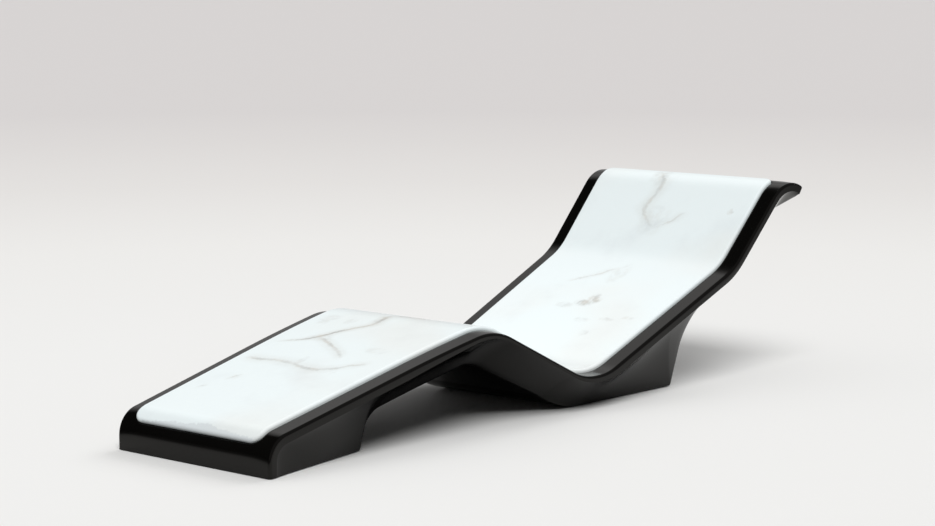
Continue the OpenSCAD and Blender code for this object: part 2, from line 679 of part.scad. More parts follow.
// Control gear on the pedestal's base plate
gear_z = plate_z + plate_t;
box_x = pedestal_plate[0] + flange_w + box_gap;
post_in = box_wall + post_r;
posts = [for (x = [post_in, box_l - post_in], y = [post_in, box_w - post_in]) [x, y]];
post_top = box_h - box_wall - fit_gap;
module at_box(z = 0) {
    placed() translate([box_x, -box_w / 2, gear_z + z]) children();
}
module control_box() {
    color([0.8, 0.8, 0.82])
    at_box() difference() {
        union() {
            difference() {
                cube([box_l, box_w, box_h]);
                translate([box_wall, box_wall, box_wall])
                    cube([box_l - 2 * box_wall, box_w - 2 * box_wall, box_h]);
            }
            for (p = posts) translate([p[0], p[1], 0]) cylinder(h = post_top, r = post_r, $fn = round_fn);
        }
        for (p = posts) translate([p[0], p[1], box_wall])
            cylinder(h = box_h, r = lid_screw_r + screw_gap, $fn = round_fn);
    }
}
module control_box_lid() {
    inset = box_wall + fit_gap;
    color([0.78, 0.78, 0.8])
    at_box(box_h) difference() {
        union() {
            cube([box_l, box_w, box_wall]);
            translate([inset, inset, -box_wall]) cube([box_l - 2 * inset, box_w - 2 * inset, box_wall]);
        }
        for (p = posts) translate([p[0], p[1], -box_wall - overrun])
            cylinder(h = 2 * (box_wall + overrun), r = lid_screw_r + screw_gap, $fn = round_fn);
    }
}
module control_box_screws() {
    color([0.7, 0.7, 0.72])
    at_box(box_h + box_wall) for (p = posts) translate([p[0], p[1], -lid_screw_len]) {
        cylinder(h = lid_screw_len + lid_screw_r, r = lid_screw_r, $fn = round_fn);
        translate([0, 0, lid_screw_len]) cylinder(h = lid_screw_r, r = 2 * lid_screw_r, $fn = round_fn);
    }
}
module controller_board() {
    inset = post_in + post_r + box_wall;
    color([0.1, 0.4, 0.2])
    at_box(box_wall) translate([2 * box_wall, inset, 0])
        cube([box_l / 2 - 2 * box_wall, box_w - 2 * inset, circuit_t]);
}
module transformer() {
    color([0.35, 0.35, 0.38])
    at_box(box_wall) translate([box_l - 2 * box_wall - trafo_w, (box_w - trafo_l) / 2, 0])
        cube([trafo_w, trafo_l, trafo_h]);
}
block_l = box_w / 2;
block_w = 2 * gland_r;
module terminal_block() {
    color([0.9, 0.9, 0.85])
    placed() translate([box_x + box_l + block_w / 2, block_w / 2, gear_z])
        cube([block_w, block_l, gland_h]);
}
module cable_gland() {
    color([0.2, 0.2, 0.2])
    placed() translate([gland_x, gland_y, plate_z]) difference() {
        union() {
            translate([0, 0, -nut_t]) cylinder(h = nut_t + plate_t + gland_h, r = gland_r, $fn = round_fn);
            translate([0, 0, plate_t]) cylinder(h = gland_h / 2, r = gland_r + gland_rim, $fn = round_fn);
        }
        translate([0, 0, -nut_t - overrun])
            cylinder(h = nut_t + plate_t + gland_h + 2 * overrun, r = gland_bore_r, $fn = round_fn);
    }
}
module gland_nut() {
    color([0.2, 0.2, 0.2])
    placed() translate([gland_x, gland_y, plate_z - nut_t]) difference() {
        cylinder(h = nut_t, r = gland_r + gland_rim, $fn = 6);
        translate([0, 0, -overrun]) cylinder(h = nut_t + 2 * overrun, r = gland_r + stem_gap, $fn = round_fn);
    }
}

// Round lead swept along a row of points
function unit(v) = v / norm(v);
function lead_dir(points, i) = unit(points[min(i + 1, len(points) - 1)] - points[max(i - 1, 0)]);
lead_sides = 8;
// A direction that no lead runs along, from which each ring of points is turned
lead_ref = [0.31, 0.17, 0.93];
module lead(points, radius) {
    color([0.15, 0.15, 0.16])
    placed() loft([for (i = [0:len(points) - 1])
        let (d = lead_dir(points, i), u = unit(cross(d, lead_ref)), v = cross(u, d))
        [for (k = [0:lead_sides - 1]) let (angle = -360 * k / lead_sides)
            points[i] + radius * (cos(angle) * u + sin(angle) * v)]]);
}
// Point under the tray at a distance along the body
function under_tray(s, y, depth) = at(top_at(s), rail_top + depth, y);
loom_y = rail_y + rail_w / 2 + 3 * loom_r;
loom_z = gear_z + box_h / 2;
loom_x = box_x + box_l / 4;
module heater_loom_calf() {
    way = [box_w / 2 + fit_gap, box_w / 2 + 2 * loom_r, rail_y, loom_y - loom_r];
    lead(concat([for (y = way) [loom_x, y, loom_z]],
        [for (s = steps(s_back, s_low, 2)) under_tray(s, loom_y, 2 * loom_r)],
        [for (i = [len(ribbon_s) - 1:-2:0]) under_tray(ribbon_s[i], loom_y, 2 * loom_r)],
        [under_tray(s_heel, loom_y, loom_r + fit_gap)]), loom_r);
}
// The rear lead leaves the box's end, curves up and ends under the tray
loom_rise = 8 * loom_r;
module heater_loom_back() {
    x0 = box_x + box_l + fit_gap;
    up = under_tray(s_over(x0 + loom_rise, back_place, s_back), 0, 0);
    lead([[x0, 0, loom_z], [x0 + loom_rise / 4, 0, loom_z],
        [mix(x0, up[0], 0.7), 0, mix(loom_z, up[2], 0.2)],
        [mix(x0, up[0], 0.95), 0, mix(loom_z, up[2], 0.6)], [up[0], 0, up[2] - loom_r]], loom_r);
}
sensor_h = 2 * loom_r;
module slab_sensor() {
    p = under_tray(s_low, 0, 0);
    color([0.8, 0.8, 0.82])
    placed() translate([p[0], p[1], p[2] - sensor_h]) cylinder(h = sensor_h, r = loom_r, $fn = round_fn);
}

marble_slab();
slab_seal();
heating_mat(calf_zone);  // heating_mat_calf
heating_mat(seat_zone);  // heating_mat_seat
heating_mat(back_zone);  // heating_mat_back
insulation(calf_zone);  // insulation_calf
insulation(seat_zone);  // insulation_seat
insulation(back_zone);  // insulation_back
top_shell();
under_shell();
rail(1);  // rail_left
rail(-1);  // rail_right
rib(rib_s[0]);  // rib_foot_front
rib(rib_s[1]);  // rib_foot_rear
rib(rib_s[2]);  // rib_pedestal_front
rib(rib_s[3]);  // rib_pedestal_rear
foot_base_plate();
pedestal_base_plate();
plate_screw_set(foot_plate);  // foot_plate_screws
plate_screw_set(pedestal_plate);  // pedestal_plate_screws
foot_bushes();
pedestal_bushes();
foot(foot_x, 1);  // foot_front_left
foot(foot_x, -1);  // foot_front_right
foot(mid_x, 1);  // foot_mid_left
foot(mid_x, -1);  // foot_mid_right
foot(last_x, 1);  // foot_rear_left
foot(last_x, -1);  // foot_rear_right
control_box();
control_box_lid();
control_box_screws();
transformer();
terminal_block();
controller_board();
cable_gland();
gland_nut();
heater_loom_calf();
heater_loom_back();
slab_sensor();
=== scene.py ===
import math

import bmesh
import bpy
from mathutils import Euler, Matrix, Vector


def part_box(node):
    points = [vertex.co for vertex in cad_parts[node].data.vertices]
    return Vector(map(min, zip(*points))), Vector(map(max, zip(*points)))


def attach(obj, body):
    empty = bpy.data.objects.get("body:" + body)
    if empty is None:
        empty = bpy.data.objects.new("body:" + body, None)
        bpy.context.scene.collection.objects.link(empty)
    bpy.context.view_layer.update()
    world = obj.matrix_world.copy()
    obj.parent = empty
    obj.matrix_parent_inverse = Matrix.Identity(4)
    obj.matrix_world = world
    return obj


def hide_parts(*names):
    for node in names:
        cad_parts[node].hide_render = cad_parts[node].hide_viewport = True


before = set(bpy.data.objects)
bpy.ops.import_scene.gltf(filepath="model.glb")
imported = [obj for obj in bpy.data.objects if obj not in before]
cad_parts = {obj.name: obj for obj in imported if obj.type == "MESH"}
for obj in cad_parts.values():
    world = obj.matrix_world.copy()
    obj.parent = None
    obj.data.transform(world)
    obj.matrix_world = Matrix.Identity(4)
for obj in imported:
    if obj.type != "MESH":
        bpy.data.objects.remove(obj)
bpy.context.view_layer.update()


# Camera
# It stands off the near side of the foot end at chest height, and looks down along the
# lounger through a long lens.
EYE = (-4.708, -4.049, 1.164)
HEADING = math.radians(40.934)
PITCH = math.radians(7.266)
LENS = 92.4

lens = bpy.data.cameras.new("camera")
lens.lens = LENS
lens.sensor_width = 36.0
lens.clip_end = 400.0
camera = bpy.data.objects.new("camera", lens)
camera.location = EYE
camera.rotation_euler = Euler((math.pi / 2 - PITCH, 0, HEADING - math.pi / 2))
bpy.context.scene.collection.objects.link(camera)
bpy.context.scene.camera = camera
bpy.context.scene.view_settings.view_transform = "Standard"


# Upper moulding
# A glass-fibre shell with a high gloss black gelcoat. Its rim follows one route of straight
# runs and bends, from the floor at the foot end to the lip that curls over at the head end,
# and holds the recess for the stone.
BODY_LONG = 2.02463
FOOT_GAP = 0.002
FOOT_W = 0.515
FLARE = 0.0415
BAND_W = 0.044
BAND_RISE = 0.003
EDGE_R = 0.007
STRIP_DRAFT = 0.002
STRIP_CALF = 0.024
STRIP_THIGH = 0.012
WALL_T = 0.005
SHELL_GAP = 0.0003
STRIP_STEP = 0.001
HAIR = 0.0001
LIP_R = 0.009
TRAY_DEEP = 0.0219
TRAY_T = 0.005
CREASE = math.radians(30)


def bend(radius, degrees):
    """A stretch of a route that turns by degrees round a radius: its length and its turn."""
    return radius * abs(math.radians(degrees)), math.radians(degrees)


# Each stretch is its length and its turn, for an adult's calves, knees, thighs, hips and back.
CALF_SLOPE = 13.5
SHIN_BOW = 2.3
THIGH_SLOPE = 26.2
BACK_SLOPE = 22.8
HEAD_SLOPE = 45.4
LIP_SLOPE = 29.0
NOSE_R = 0.066
KNEE_R = 0.200
HIP_R = 0.210
CREST_R = 0.113
RIM_ROUTE = [
    (0.033, 0.0),
    bend(NOSE_R, CALF_SLOPE - 90),
    (0.400, 0.0),
    (0.250, math.radians(-SHIN_BOW)),
    bend(KNEE_R, SHIN_BOW - CALF_SLOPE - THIGH_SLOPE),
    (0.260, 0.0),
    bend(HIP_R, THIGH_SLOPE + BACK_SLOPE),
    (0.490, 0.0),
    bend(0.216, HEAD_SLOPE - BACK_SLOPE),
    (0.217, 0.0),
    bend(CREST_R, -HEAD_SLOPE - LIP_SLOPE),
]


def walk(place, stretch, share=1.0):
    """The place (x, z, heading) after a share of one stretch of a route."""
    x, z, heading = place
    length, turn = stretch
    if turn == 0:
        run = length * share
        return x + run * math.cos(heading), z + run * math.sin(heading), heading
    radius = length / turn
    turned = heading + turn * share
    return (
        x + radius * (math.sin(turned) - math.sin(heading)),
        z - radius * (math.cos(turned) - math.cos(heading)),
        turned,
    )


def follow(route, place, distance):
    """The place at a distance along a route that starts at a place."""
    for length, turn in route[:-1]:
        if distance <= length:
            return walk(place, (length, turn), distance / length)
        place = walk(place, (length, turn))
        distance -= length
    return walk(place, route[-1], distance / route[-1][0])


def starts_of(route):
    """The distances at which the stretches of a route start, and its end."""
    marks = [0.0]
    for length, _ in route:
        marks.append(marks[-1] + length)
    return marks


RIM_MARKS = starts_of(RIM_ROUTE)
(_, S_NOSE, S_CALF, S_SHIN, S_KNEE, S_THIGH, S_HIP, S_BACK, S_KINK, S_HEAD, S_CREST, S_END) = RIM_MARKS
S_LOW = S_HIP + bend(HIP_R, THIGH_SLOPE)[0]


def rim_place(s):
    return follow(RIM_ROUTE, (0.0, 0.0, math.pi / 2), s)


def below(place, depth):
    x, z, heading = place
    return x + depth * math.sin(heading), z - depth * math.cos(heading)


def half_width(x):
    return FOOT_W / 2 + FLARE * x


def in_frame(x, y, z):
    """A point measured from the foot end on the floor, in the frame that all the pieces share."""
    return x - BODY_LONG / 2, y, z + FOOT_GAP


def at(place, depth, y):
    """The point at a depth below the rim's route."""
    x, z = below(place, depth)
    return in_frame(x, y, z)


def mix(a, b, share):
    return a + (b - a) * share


def between(x, marks):
    """Straight-line values between (x, value) marks."""
    if x <= marks[0][0]:
        return marks[0][1]
    for (x0, v0), (x1, v1) in zip(marks, marks[1:]):
        if x <= x1:
            return mix(v0, v1, (x - x0) / (x1 - x0))
    return marks[-1][1]


def spread(a, b, longest):
    """Distances from a to b, b left out, no more than longest apart."""
    count = max(1, math.ceil((b - a) / longest))
    return [mix(a, b, i / count) for i in range(count)]


def spaced(marks, longest=0.009):
    row = []
    for a, b in zip(marks, marks[1:]):
        row += spread(a, b, longest)
    return row + [marks[-1]]


def arc(count, start=0, stop=90):
    return [math.radians(mix(start, stop, i / count)) for i in range(count + 1)]


def corner(distance, radius):
    """How far a rounded corner draws in a side at a distance from the end."""
    if distance >= radius:
        return 0.0
    return radius - math.sqrt(radius**2 - (radius - max(0.0, distance)) ** 2)


def mirrored(points):
    return [(x, -y, z) for x, y, z in reversed(points)]


def join_rings(rings, closed=False):
    """Faces between neighbouring rings of points, each ring closed on itself."""
    count = len(rings[0])
    faces = []
    total = len(rings) if closed else len(rings) - 1
    for k in range(total):
        a, b = k * count, (k + 1) % len(rings) * count
        for i in range(count):
            j = (i + 1) % count
            faces.append((a + i, a + j, b + j, b + i))
    return faces


def made(name, rings, faces):
    """A mesh object with smooth faces, and sharp edges where they meet at more than CREASE."""
    mesh = bpy.data.meshes.new(name)
    mesh.from_pydata([point for ring in rings for point in ring], [], faces)
    skin = bmesh.new()
    skin.from_mesh(mesh)
    bmesh.ops.recalc_face_normals(skin, faces=skin.faces)
    skin.to_mesh(mesh)
    skin.free()
    mesh.shade_smooth()
    mesh.set_sharp_from_angle(angle=CREASE)
    piece = bpy.data.objects.new(name, mesh)
    bpy.context.scene.collection.objects.link(piece)
    return piece


def lofted(name, *forms):
    """One piece of closed forms through rings, with a flat face over each first and last ring."""
    faces, base = [], 0
    for rings in forms:
        count = len(rings[0])
        ends = [tuple(range(count)), tuple((len(rings) - 1) * count + i for i in range(count))]
        faces += [tuple(base + i for i in face) for face in join_rings(rings) + ends]
        base += len(rings) * count
    return made(name, [ring for rings in forms for ring in rings], faces)


def dress(piece, body, slot, material, *nodes):
    """Gives a new piece its body, its finish and the nodes it stands for; slot is not used."""
    piece.data.materials.clear()
    piece.data.materials.append(material)
    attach(piece, body)
    if nodes:
        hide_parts(*nodes)


class Finish:
    """A material of shader nodes, with short calls to add and join them."""

    def __init__(self, name, **settings):
        self.material = bpy.data.materials.new(name)
        self.material.use_nodes = True
        self.tree = self.material.node_tree
        self.shader = self.tree.nodes["Principled BSDF"]
        for socket, value in settings.items():
            self.shader.inputs[socket.replace("_", " ")].default_value = value

    def node(self, kind, sockets=(), **fields):
        node = self.tree.nodes.new("ShaderNode" + kind)
        for field, value in fields.items():
            setattr(node, field, value)
        for socket, value in dict(sockets).items():
            if isinstance(value, bpy.types.NodeSocket):
                self.tree.links.new(value, node.inputs[socket])
            else:
                node.inputs[socket].default_value = value
        return node

    def math(self, operation, a, b=0.0, clamp=False):
        return self.node("Math", {0: a, 1: b}, operation=operation, use_clamp=clamp).outputs[0]

    def vector(self, operation, a, b):
        return self.node("VectorMath", {0: a, 1: b}, operation=operation).outputs[0]

    def times(self, a, b):
        return self.math("MULTIPLY", a, b)

    def scaled(self, vector, share):
        return self.node("VectorMath", {0: vector, "Scale": share}, operation="SCALE").outputs[0]

    def split(self, vector):
        return self.node("SeparateXYZ", {0: vector}).outputs

    def place(self):
        """The point in metres, the same in every view."""
        return self.node("TexCoord").outputs["Object"]

    def stretched(self, factors):
        """The point with its axes stretched, for grain and lines that run one way."""
        return self.vector("MULTIPLY", self.place(), factors)

    def waves(self, scale, axis):
        sockets = {"Vector": self.place(), "Scale": scale}
        return self.node("TexWave", sockets, bands_direction=axis).outputs["Fac"]

    def cells(self, scale):
        sockets = {"Vector": self.place(), "Scale": scale}
        return self.node("TexVoronoi", sockets).outputs["Distance"]

    def noise(self, scale, detail=2.0, vector=None, roughness=0.5):
        where = vector or self.place()
        sockets = {"Vector": where, "Scale": scale, "Detail": detail, "Roughness": roughness}
        return self.node("TexNoise", sockets).outputs["Fac"]

    def over(self, cloud, low, high):
        """A value that runs from low to high over a cloud or grain."""
        return self.range(cloud, 0.3, 0.7, low, high)

    def tinted(self, cloud, dark, pale):
        """A colour that runs from dark to pale over a cloud or grain."""
        return self.ramp(cloud, [(0.3, dark), (0.7, pale)])

    def ramp(self, value, stops):
        node = self.node("ValToRGB", {"Fac": value})
        for i, (position, colour) in enumerate(stops):
            spot = node.color_ramp.elements[i] if i < 2 else node.color_ramp.elements.new(position)
            spot.position = position
            spot.color = colour if isinstance(colour, tuple) else (colour, colour, colour, 1)
        return node.outputs["Color"]

    def apart(self, a, b):
        return self.math("ABSOLUTE", self.math("SUBTRACT", a, b))

    def range(self, value, low, high, to_low, to_high, smooth=False):
        return self.node(
            "MapRange",
            {"Value": value, "From Min": low, "From Max": high, "To Min": to_low, "To Max": to_high},
            interpolation_type="SMOOTHSTEP" if smooth else "LINEAR",
        ).outputs["Result"]

    def either(self, share, a, b):
        return self.node("Mix", {0: share, 2: a, 3: b}, data_type="FLOAT").outputs[0]

    def blend(self, share, a, b):
        return self.node("MixRGB", {"Fac": share, "Color1": a, "Color2": b}).outputs["Color"]

    def bump(self, height, distance, strength=1.0, normal=None):
        sockets = {"Height": height, "Distance": distance, "Strength": strength}
        if normal:
            sockets["Normal"] = normal
        return self.node("Bump", sockets).outputs["Normal"]

    def set(self, **sockets):
        for socket, value in sockets.items():
            self.tree.links.new(value, self.shader.inputs[socket.replace("_", " ")])
        return self


GELCOAT_DEEP = (0.0022, 0.0021, 0.0019, 1)
GELCOAT_HAZY = (0.0036, 0.0034, 0.0030, 1)


def gelcoat():
    """Deep black gloss with the faint ripple, haze and dust of a polished moulding."""
    skin = Finish("black gelcoat", Roughness=0.1, IOR=1.46, Specular_Tint=(1.0, 0.97, 0.92, 1))
    haze = skin.noise(3.0, 4.0)
    dust = skin.noise(140.0, 3.0)
    tint = skin.ramp(haze, [(0.35, GELCOAT_DEEP), (0.7, GELCOAT_HAZY)])
    hazed = skin.over(haze, 0.07, 0.11)
    rough = skin.math("ADD", hazed, skin.range(dust, 0.5, 0.8, 0.0, 0.05))
    ripple = skin.bump(skin.noise(6.0, 0.0), 0.0002, 0.12)
    skin.set(Base_Color=tint, Roughness=rough, Normal=skin.bump(dust, 0.00001, 0.4, ripple))
    return skin.material


BLACK = gelcoat()

# The recess and the stone in it: where they start and end on the route, and their corners.
NOSE_BARE = 42
CREST_BARE = 38
SLAB_START = S_CALF - bend(NOSE_R, NOSE_BARE)[0]
SLAB_END = S_CREST + bend(CREST_R, CREST_BARE)[0]
SEAL_W = 0.003
SLAB_FOOT_R = 0.028
SLAB_HEAD_R = 0.026
RECESS_START = SLAB_START - SEAL_W
RECESS_END = SLAB_END + SEAL_W
RECESS_FOOT_R = SLAB_FOOT_R + SEAL_W
RECESS_HEAD_R = SLAB_HEAD_R + SEAL_W
RECESS_DRAFT = 0.0015
RECESS_LIP_R = 0.0012
CROWN = (0.03, 0.12, 0.25, 0.4, 0.55, 0.7, 0.84, 0.95)
CROWN_FADE = 0.06
CORNER_STEPS = 14
EDGE_STEPS = 8
LIP_STEPS = 4
TIP_STEPS = 8
FINE, COARSE = 0.006, 0.02
CREST_FINE = 0.005
RECESS_EDGE = 0.0002


def recess_steps(radius):
    """Distances from the recess's end that step evenly round its corner."""
    return [radius * (1 - math.cos(t)) for t in arc(CORNER_STEPS)[1:]]


def rim_rise(s):
    return BAND_RISE * between(s, [(S_NOSE, 0), (RECESS_START, 1), (RECESS_END, 1), (S_END, 0)])


def rim_strip(s):
    return between(
        s,
        [(S_SHIN, STRIP_CALF), (S_THIGH, STRIP_THIGH), (S_HIP, STRIP_THIGH), (S_BACK, STRIP_CALF)],
    )


def tip(s):
    """The lip's end is rounded: how far its face has dropped there."""
    return corner(S_END - s, LIP_R)


def crown(s, u):
    """Height of the rim at share u of the way from its edge to the recess: a slope beside the
    stone that turns into a soft crown over the nose and the head end."""
    past = max(RECESS_START - s, s - RECESS_END)
    return rim_rise(s) * mix(u, 2 * u - u * u, between(past, [(-CROWN_FADE, 0), (0, 1)]))


def sunk(s):
    """How far the rim has rolled over into the recess at its two ends."""
    past = max(RECESS_START - s, s - RECESS_END)
    return 0.0 if past < 0 else corner(past, RECESS_LIP_R)


def rim_section(s):
    """One closed section across the rim at a distance along it."""
    place = rim_place(s)
    w = half_width(place[0])
    drop = tip(s)
    side = w - drop / 2
    rise = rim_rise(s)
    strip = rim_strip(s)
    inner = w - BAND_W - corner(s - RECESS_START, RECESS_FOOT_R) - corner(RECESS_END - s, RECESS_HEAD_R)
    in_recess = RECESS_START < s < RECESS_END
    roll = RECESS_LIP_R if in_recess else sunk(s)
    floor = TRAY_DEEP if in_recess else drop - rise + roll
    under = TRAY_DEEP + TRAY_T if in_recess else strip - SHELL_GAP
    right = [
        (under, w - BAND_W),
        (strip, side - STRIP_DRAFT - WALL_T - SHELL_GAP),
        (strip, side - STRIP_DRAFT),
        (strip - STRIP_STEP, side - STRIP_DRAFT + HAIR),
        (mix(EDGE_R, strip, 0.15), side - HAIR),
    ]
    right += [
        (max(drop, EDGE_R * (1 - math.sin(t))), side - EDGE_R * (1 - math.cos(t)))
        for t in arc(EDGE_STEPS)
    ]
    edge, crest = side - EDGE_R, inner + RECESS_LIP_R
    right += [(drop - crown(s, u), mix(edge, crest, u)) for u in CROWN]
    right += [
        (drop - rise + roll * (1 - math.cos(t)), crest - RECESS_LIP_R * math.sin(t))
        for t in arc(LIP_STEPS)
    ]
    right.append((floor, inner - RECESS_DRAFT))
    ring = [at(place, depth, y) for depth, y in right]
    return ring + mirrored(ring)


def eased(end, radius, count):
    """Distances over the last radius before end, closer together towards it."""
    return [end - radius * (1 - math.sin(t)) for t in arc(count)]


recess_lip = [RECESS_END + RECESS_LIP_R * (1 - math.sin(t)) for t in arc(LIP_STEPS)[1:]]
rim_distances = sorted(
    spaced([0.0, S_NOSE, RECESS_START - RECESS_LIP_R], FINE)
    + eased(RECESS_START, RECESS_LIP_R, LIP_STEPS)[1:]
    + [RECESS_START + RECESS_EDGE]
    + [RECESS_START + d for d in recess_steps(RECESS_FOOT_R)]
    + spaced([RECESS_START + RECESS_FOOT_R + FINE / 2, S_CALF], FINE)[:-1]
    + spaced([S_CALF, S_SHIN, S_KNEE], COARSE)[:-1]
    + spaced([S_KNEE, S_THIGH], FINE)[:-1]
    + spaced([S_THIGH, S_HIP], COARSE)[:-1]
    + spaced([S_HIP, S_LOW, S_BACK], FINE)[:-1]
    + spaced([S_BACK, S_KINK], COARSE)[:-1]
    + spaced([S_KINK, S_HEAD], FINE)[:-1]
    + spaced([S_HEAD, S_CREST], COARSE)[:-1]
    + spaced([S_CREST, RECESS_END - RECESS_HEAD_R], CREST_FINE)[:-1]
    + [RECESS_END - d for d in reversed(recess_steps(RECESS_HEAD_R))]
    + [RECESS_END - RECESS_EDGE]
    + recess_lip
    + spaced([RECESS_END + RECESS_LIP_R, S_END - LIP_R], CREST_FINE)[:-1]
    + eased(S_END, LIP_R, TIP_STEPS)
)
upper = lofted("upper_moulding", [rim_section(s) for s in rim_distances])
dress(upper, "body", "body", BLACK, "top_shell")


# Lower moulding
# The black shell under the rim, laid up in its own mould: soft flanks, the foot block, the
# arch, the pedestal on the floor and the thin back behind the upper back rest.
CALF_T = 0.091
THIGH_T = 0.076
BLADE_T = 0.038
LIP_T = 0.033
CURL_LEAD = 0.012
FOOT_LEN = 0.363
ARCH_R = 0.086
PEDESTAL_LEN = 0.415
REAR_R = 0.157
UNDER_R = 0.004
ARCH_ROLL = 0.010
ROLL_RISE = 0.050
BASE_INSET = 0.080
REAR_INSET = 0.090
BLADE_INSET = 0.028
HEAD_INSET = 0.014
FLOOR_T = 0.014
FAN = 1.3
FIRST_FLOOR_X = 0.0605
FLANK_DEPTH = 0.3
FLANK_SIDE = 0.5
FLANK_STEPS = 15
ROLL_STEPS = 6
FLOOR_STEP = 0.004
BLADE_STEP = 0.007


def meets_slope(s_from, thick, degrees, wall_x, radius):
    """A curve up from a wall into the sloping underside: the height it starts at, its end, and
    how far along the rim that end lies."""
    slope = math.radians(degrees)
    start = rim_place(s_from)
    under = below(start, thick)
    z = under[1] + math.tan(slope) * (wall_x + radius - under[0]) - radius / math.cos(slope)
    end = (wall_x + radius - radius * math.sin(slope), z + radius * math.cos(slope))
    along = s_from + (end[0] - start[0]) * math.cos(slope) + (end[1] - start[1]) * math.sin(slope)
    return z, end, along


def wall_route(floor, height, radius, degrees):
    """The underside's way along the floor, up a wall and round the curve into the slope."""
    return [(floor, 0.0), bend(UNDER_R, 90), (height - UNDER_R, 0.0), bend(radius, degrees - 90)]


arch_z, arch_end, s_arch = meets_slope(S_CALF, CALF_T, CALF_SLOPE, FOOT_LEN, ARCH_R)
s_heel = s_arch - FAN * (arch_end[0] - FOOT_LEN)
foot_floor = FOOT_LEN - FIRST_FLOOR_X - UNDER_R
FOOT_UNDER = wall_route(foot_floor, arch_z, ARCH_R, CALF_SLOPE)
foot_marks = starts_of(FOOT_UNDER)

low_place = rim_place(S_LOW)
pedestal_x = low_place[0]
rear_x = pedestal_x + PEDESTAL_LEN
rear_z, _, s_blade = meets_slope(S_BACK, BLADE_T, BACK_SLOPE, rear_x, REAR_R)
PEDESTAL_UNDER = wall_route(PEDESTAL_LEN - UNDER_R, rear_z, REAR_R, BACK_SLOPE)
rear_marks = starts_of(PEDESTAL_UNDER)
s_rear = mix(S_LOW, s_blade, rear_marks[1] / rear_marks[-1])
s_curl = S_CREST - CURL_LEAD


def floor_inset(x):
    """How far the moulding's foot on the floor stands in from the rim's side."""
    if x < pedestal_x:
        return BASE_INSET * x / FOOT_LEN
    return mix(BASE_INSET, REAR_INSET, (x - pedestal_x) / PEDESTAL_LEN)


def floor_half(x):
    return half_width(x) - floor_inset(x)


# Each station: distance on the rim, (x, z, heading) of the moulding's foot there, its inset.
stations = []


def on_floor(s, x):
    """Adds a station whose foot stands on the floor."""
    stations.append((s, (x, 0.0, 0.0), floor_inset(x)))


def up_wall(s0, s1, marks, floor_x, route, insets):
    """Adds the stations whose foot runs up a wall and its curve, between two insets."""
    top = follow(route, (floor_x, 0.0, 0.0), marks[-1])[1]
    for q in spaced(marks, FLOOR_STEP)[1:]:
        x, z, heading = follow(route, (floor_x, 0.0, 0.0), q)
        s = mix(s0, s1, (q - marks[0]) / (marks[-1] - marks[0]))
        stations.append((s, (x, z, heading), mix(*insets, z / top)))


def under_rim(s, depth, inset):
    """Adds a station whose foot follows the rim at a depth."""
    place = rim_place(s)
    stations.append((s, (*below(place, depth), place[2]), inset))


for s in sorted(spaced([0.0, S_NOSE, S_CALF], FINE)[:-1] + spaced([S_CALF, s_heel], FINE)):
    on_floor(s, FIRST_FLOOR_X + foot_floor * s / s_heel)
up_wall(s_heel, s_arch, foot_marks[1:], FIRST_FLOOR_X, FOOT_UNDER, (BASE_INSET, BASE_INSET))
for s in spaced([s_arch, S_SHIN, S_KNEE, S_THIGH, S_HIP, S_LOW], FINE)[1:]:
    under_rim(s, between(s, [(S_KNEE, CALF_T), (S_HIP, THIGH_T), (S_LOW, low_place[1])]), BASE_INSET)
for s in spaced([S_LOW, S_BACK, s_rear], FINE)[1:]:
    on_floor(s, pedestal_x + rear_marks[1] * (s - S_LOW) / (s_rear - S_LOW))
up_wall(s_rear, s_blade, rear_marks[1:], pedestal_x, PEDESTAL_UNDER, (REAR_INSET, BLADE_INSET))
for s in spaced([s_blade, S_KINK, S_HEAD, s_curl], BLADE_STEP)[1:]:
    under_rim(s, BLADE_T, between(s, [(s_blade, BLADE_INSET), (S_HEAD, HEAD_INSET)]))
curl_start = below(rim_place(s_curl), BLADE_T)
curl_end = below(rim_place(S_END), LIP_T)
curl_heading = math.atan2(curl_end[1] - curl_start[1], curl_end[0] - curl_start[0])
curl = spaced([s_curl, S_CREST, S_END - LIP_R], FINE)[1:] + eased(S_END, LIP_R, TIP_STEPS)[1:]
for s in curl:
    share = (s - s_curl) / (S_END - s_curl)
    x = mix(curl_start[0], curl_end[0], share)
    z = mix(curl_start[1], curl_end[1], share)
    stations.append((s, (x, z, curl_heading), HEAD_INSET + tip(s) / 2))


def inner_foot(foot):
    """Where the hollow inside the moulding ends: on its floor, or a wall's thickness in."""
    x, z, heading = foot
    edge_x = rear_x if x > FOOT_LEN + HAIR else FOOT_LEN
    if z < FLOOR_T:
        return min(x, edge_x - WALL_T * (2 - max(0.0, heading) / (math.pi / 2))), FLOOR_T
    return x - WALL_T * math.sin(heading), z + WALL_T * math.cos(heading)


def flank_in(t, bow):
    """How far along the flank has come at share t of the way down, for a hollow of this bow."""
    return 2 * t * (1 - t) * bow + t * t


def edge_roll(s, foot):
    """The radius of the flank's lower edge: soft over the arch, small where it meets the floor."""
    if s_heel < s < S_LOW:
        return mix(UNDER_R, ARCH_ROLL, min(1.0, foot[1] / ROLL_RISE))
    return UNDER_R


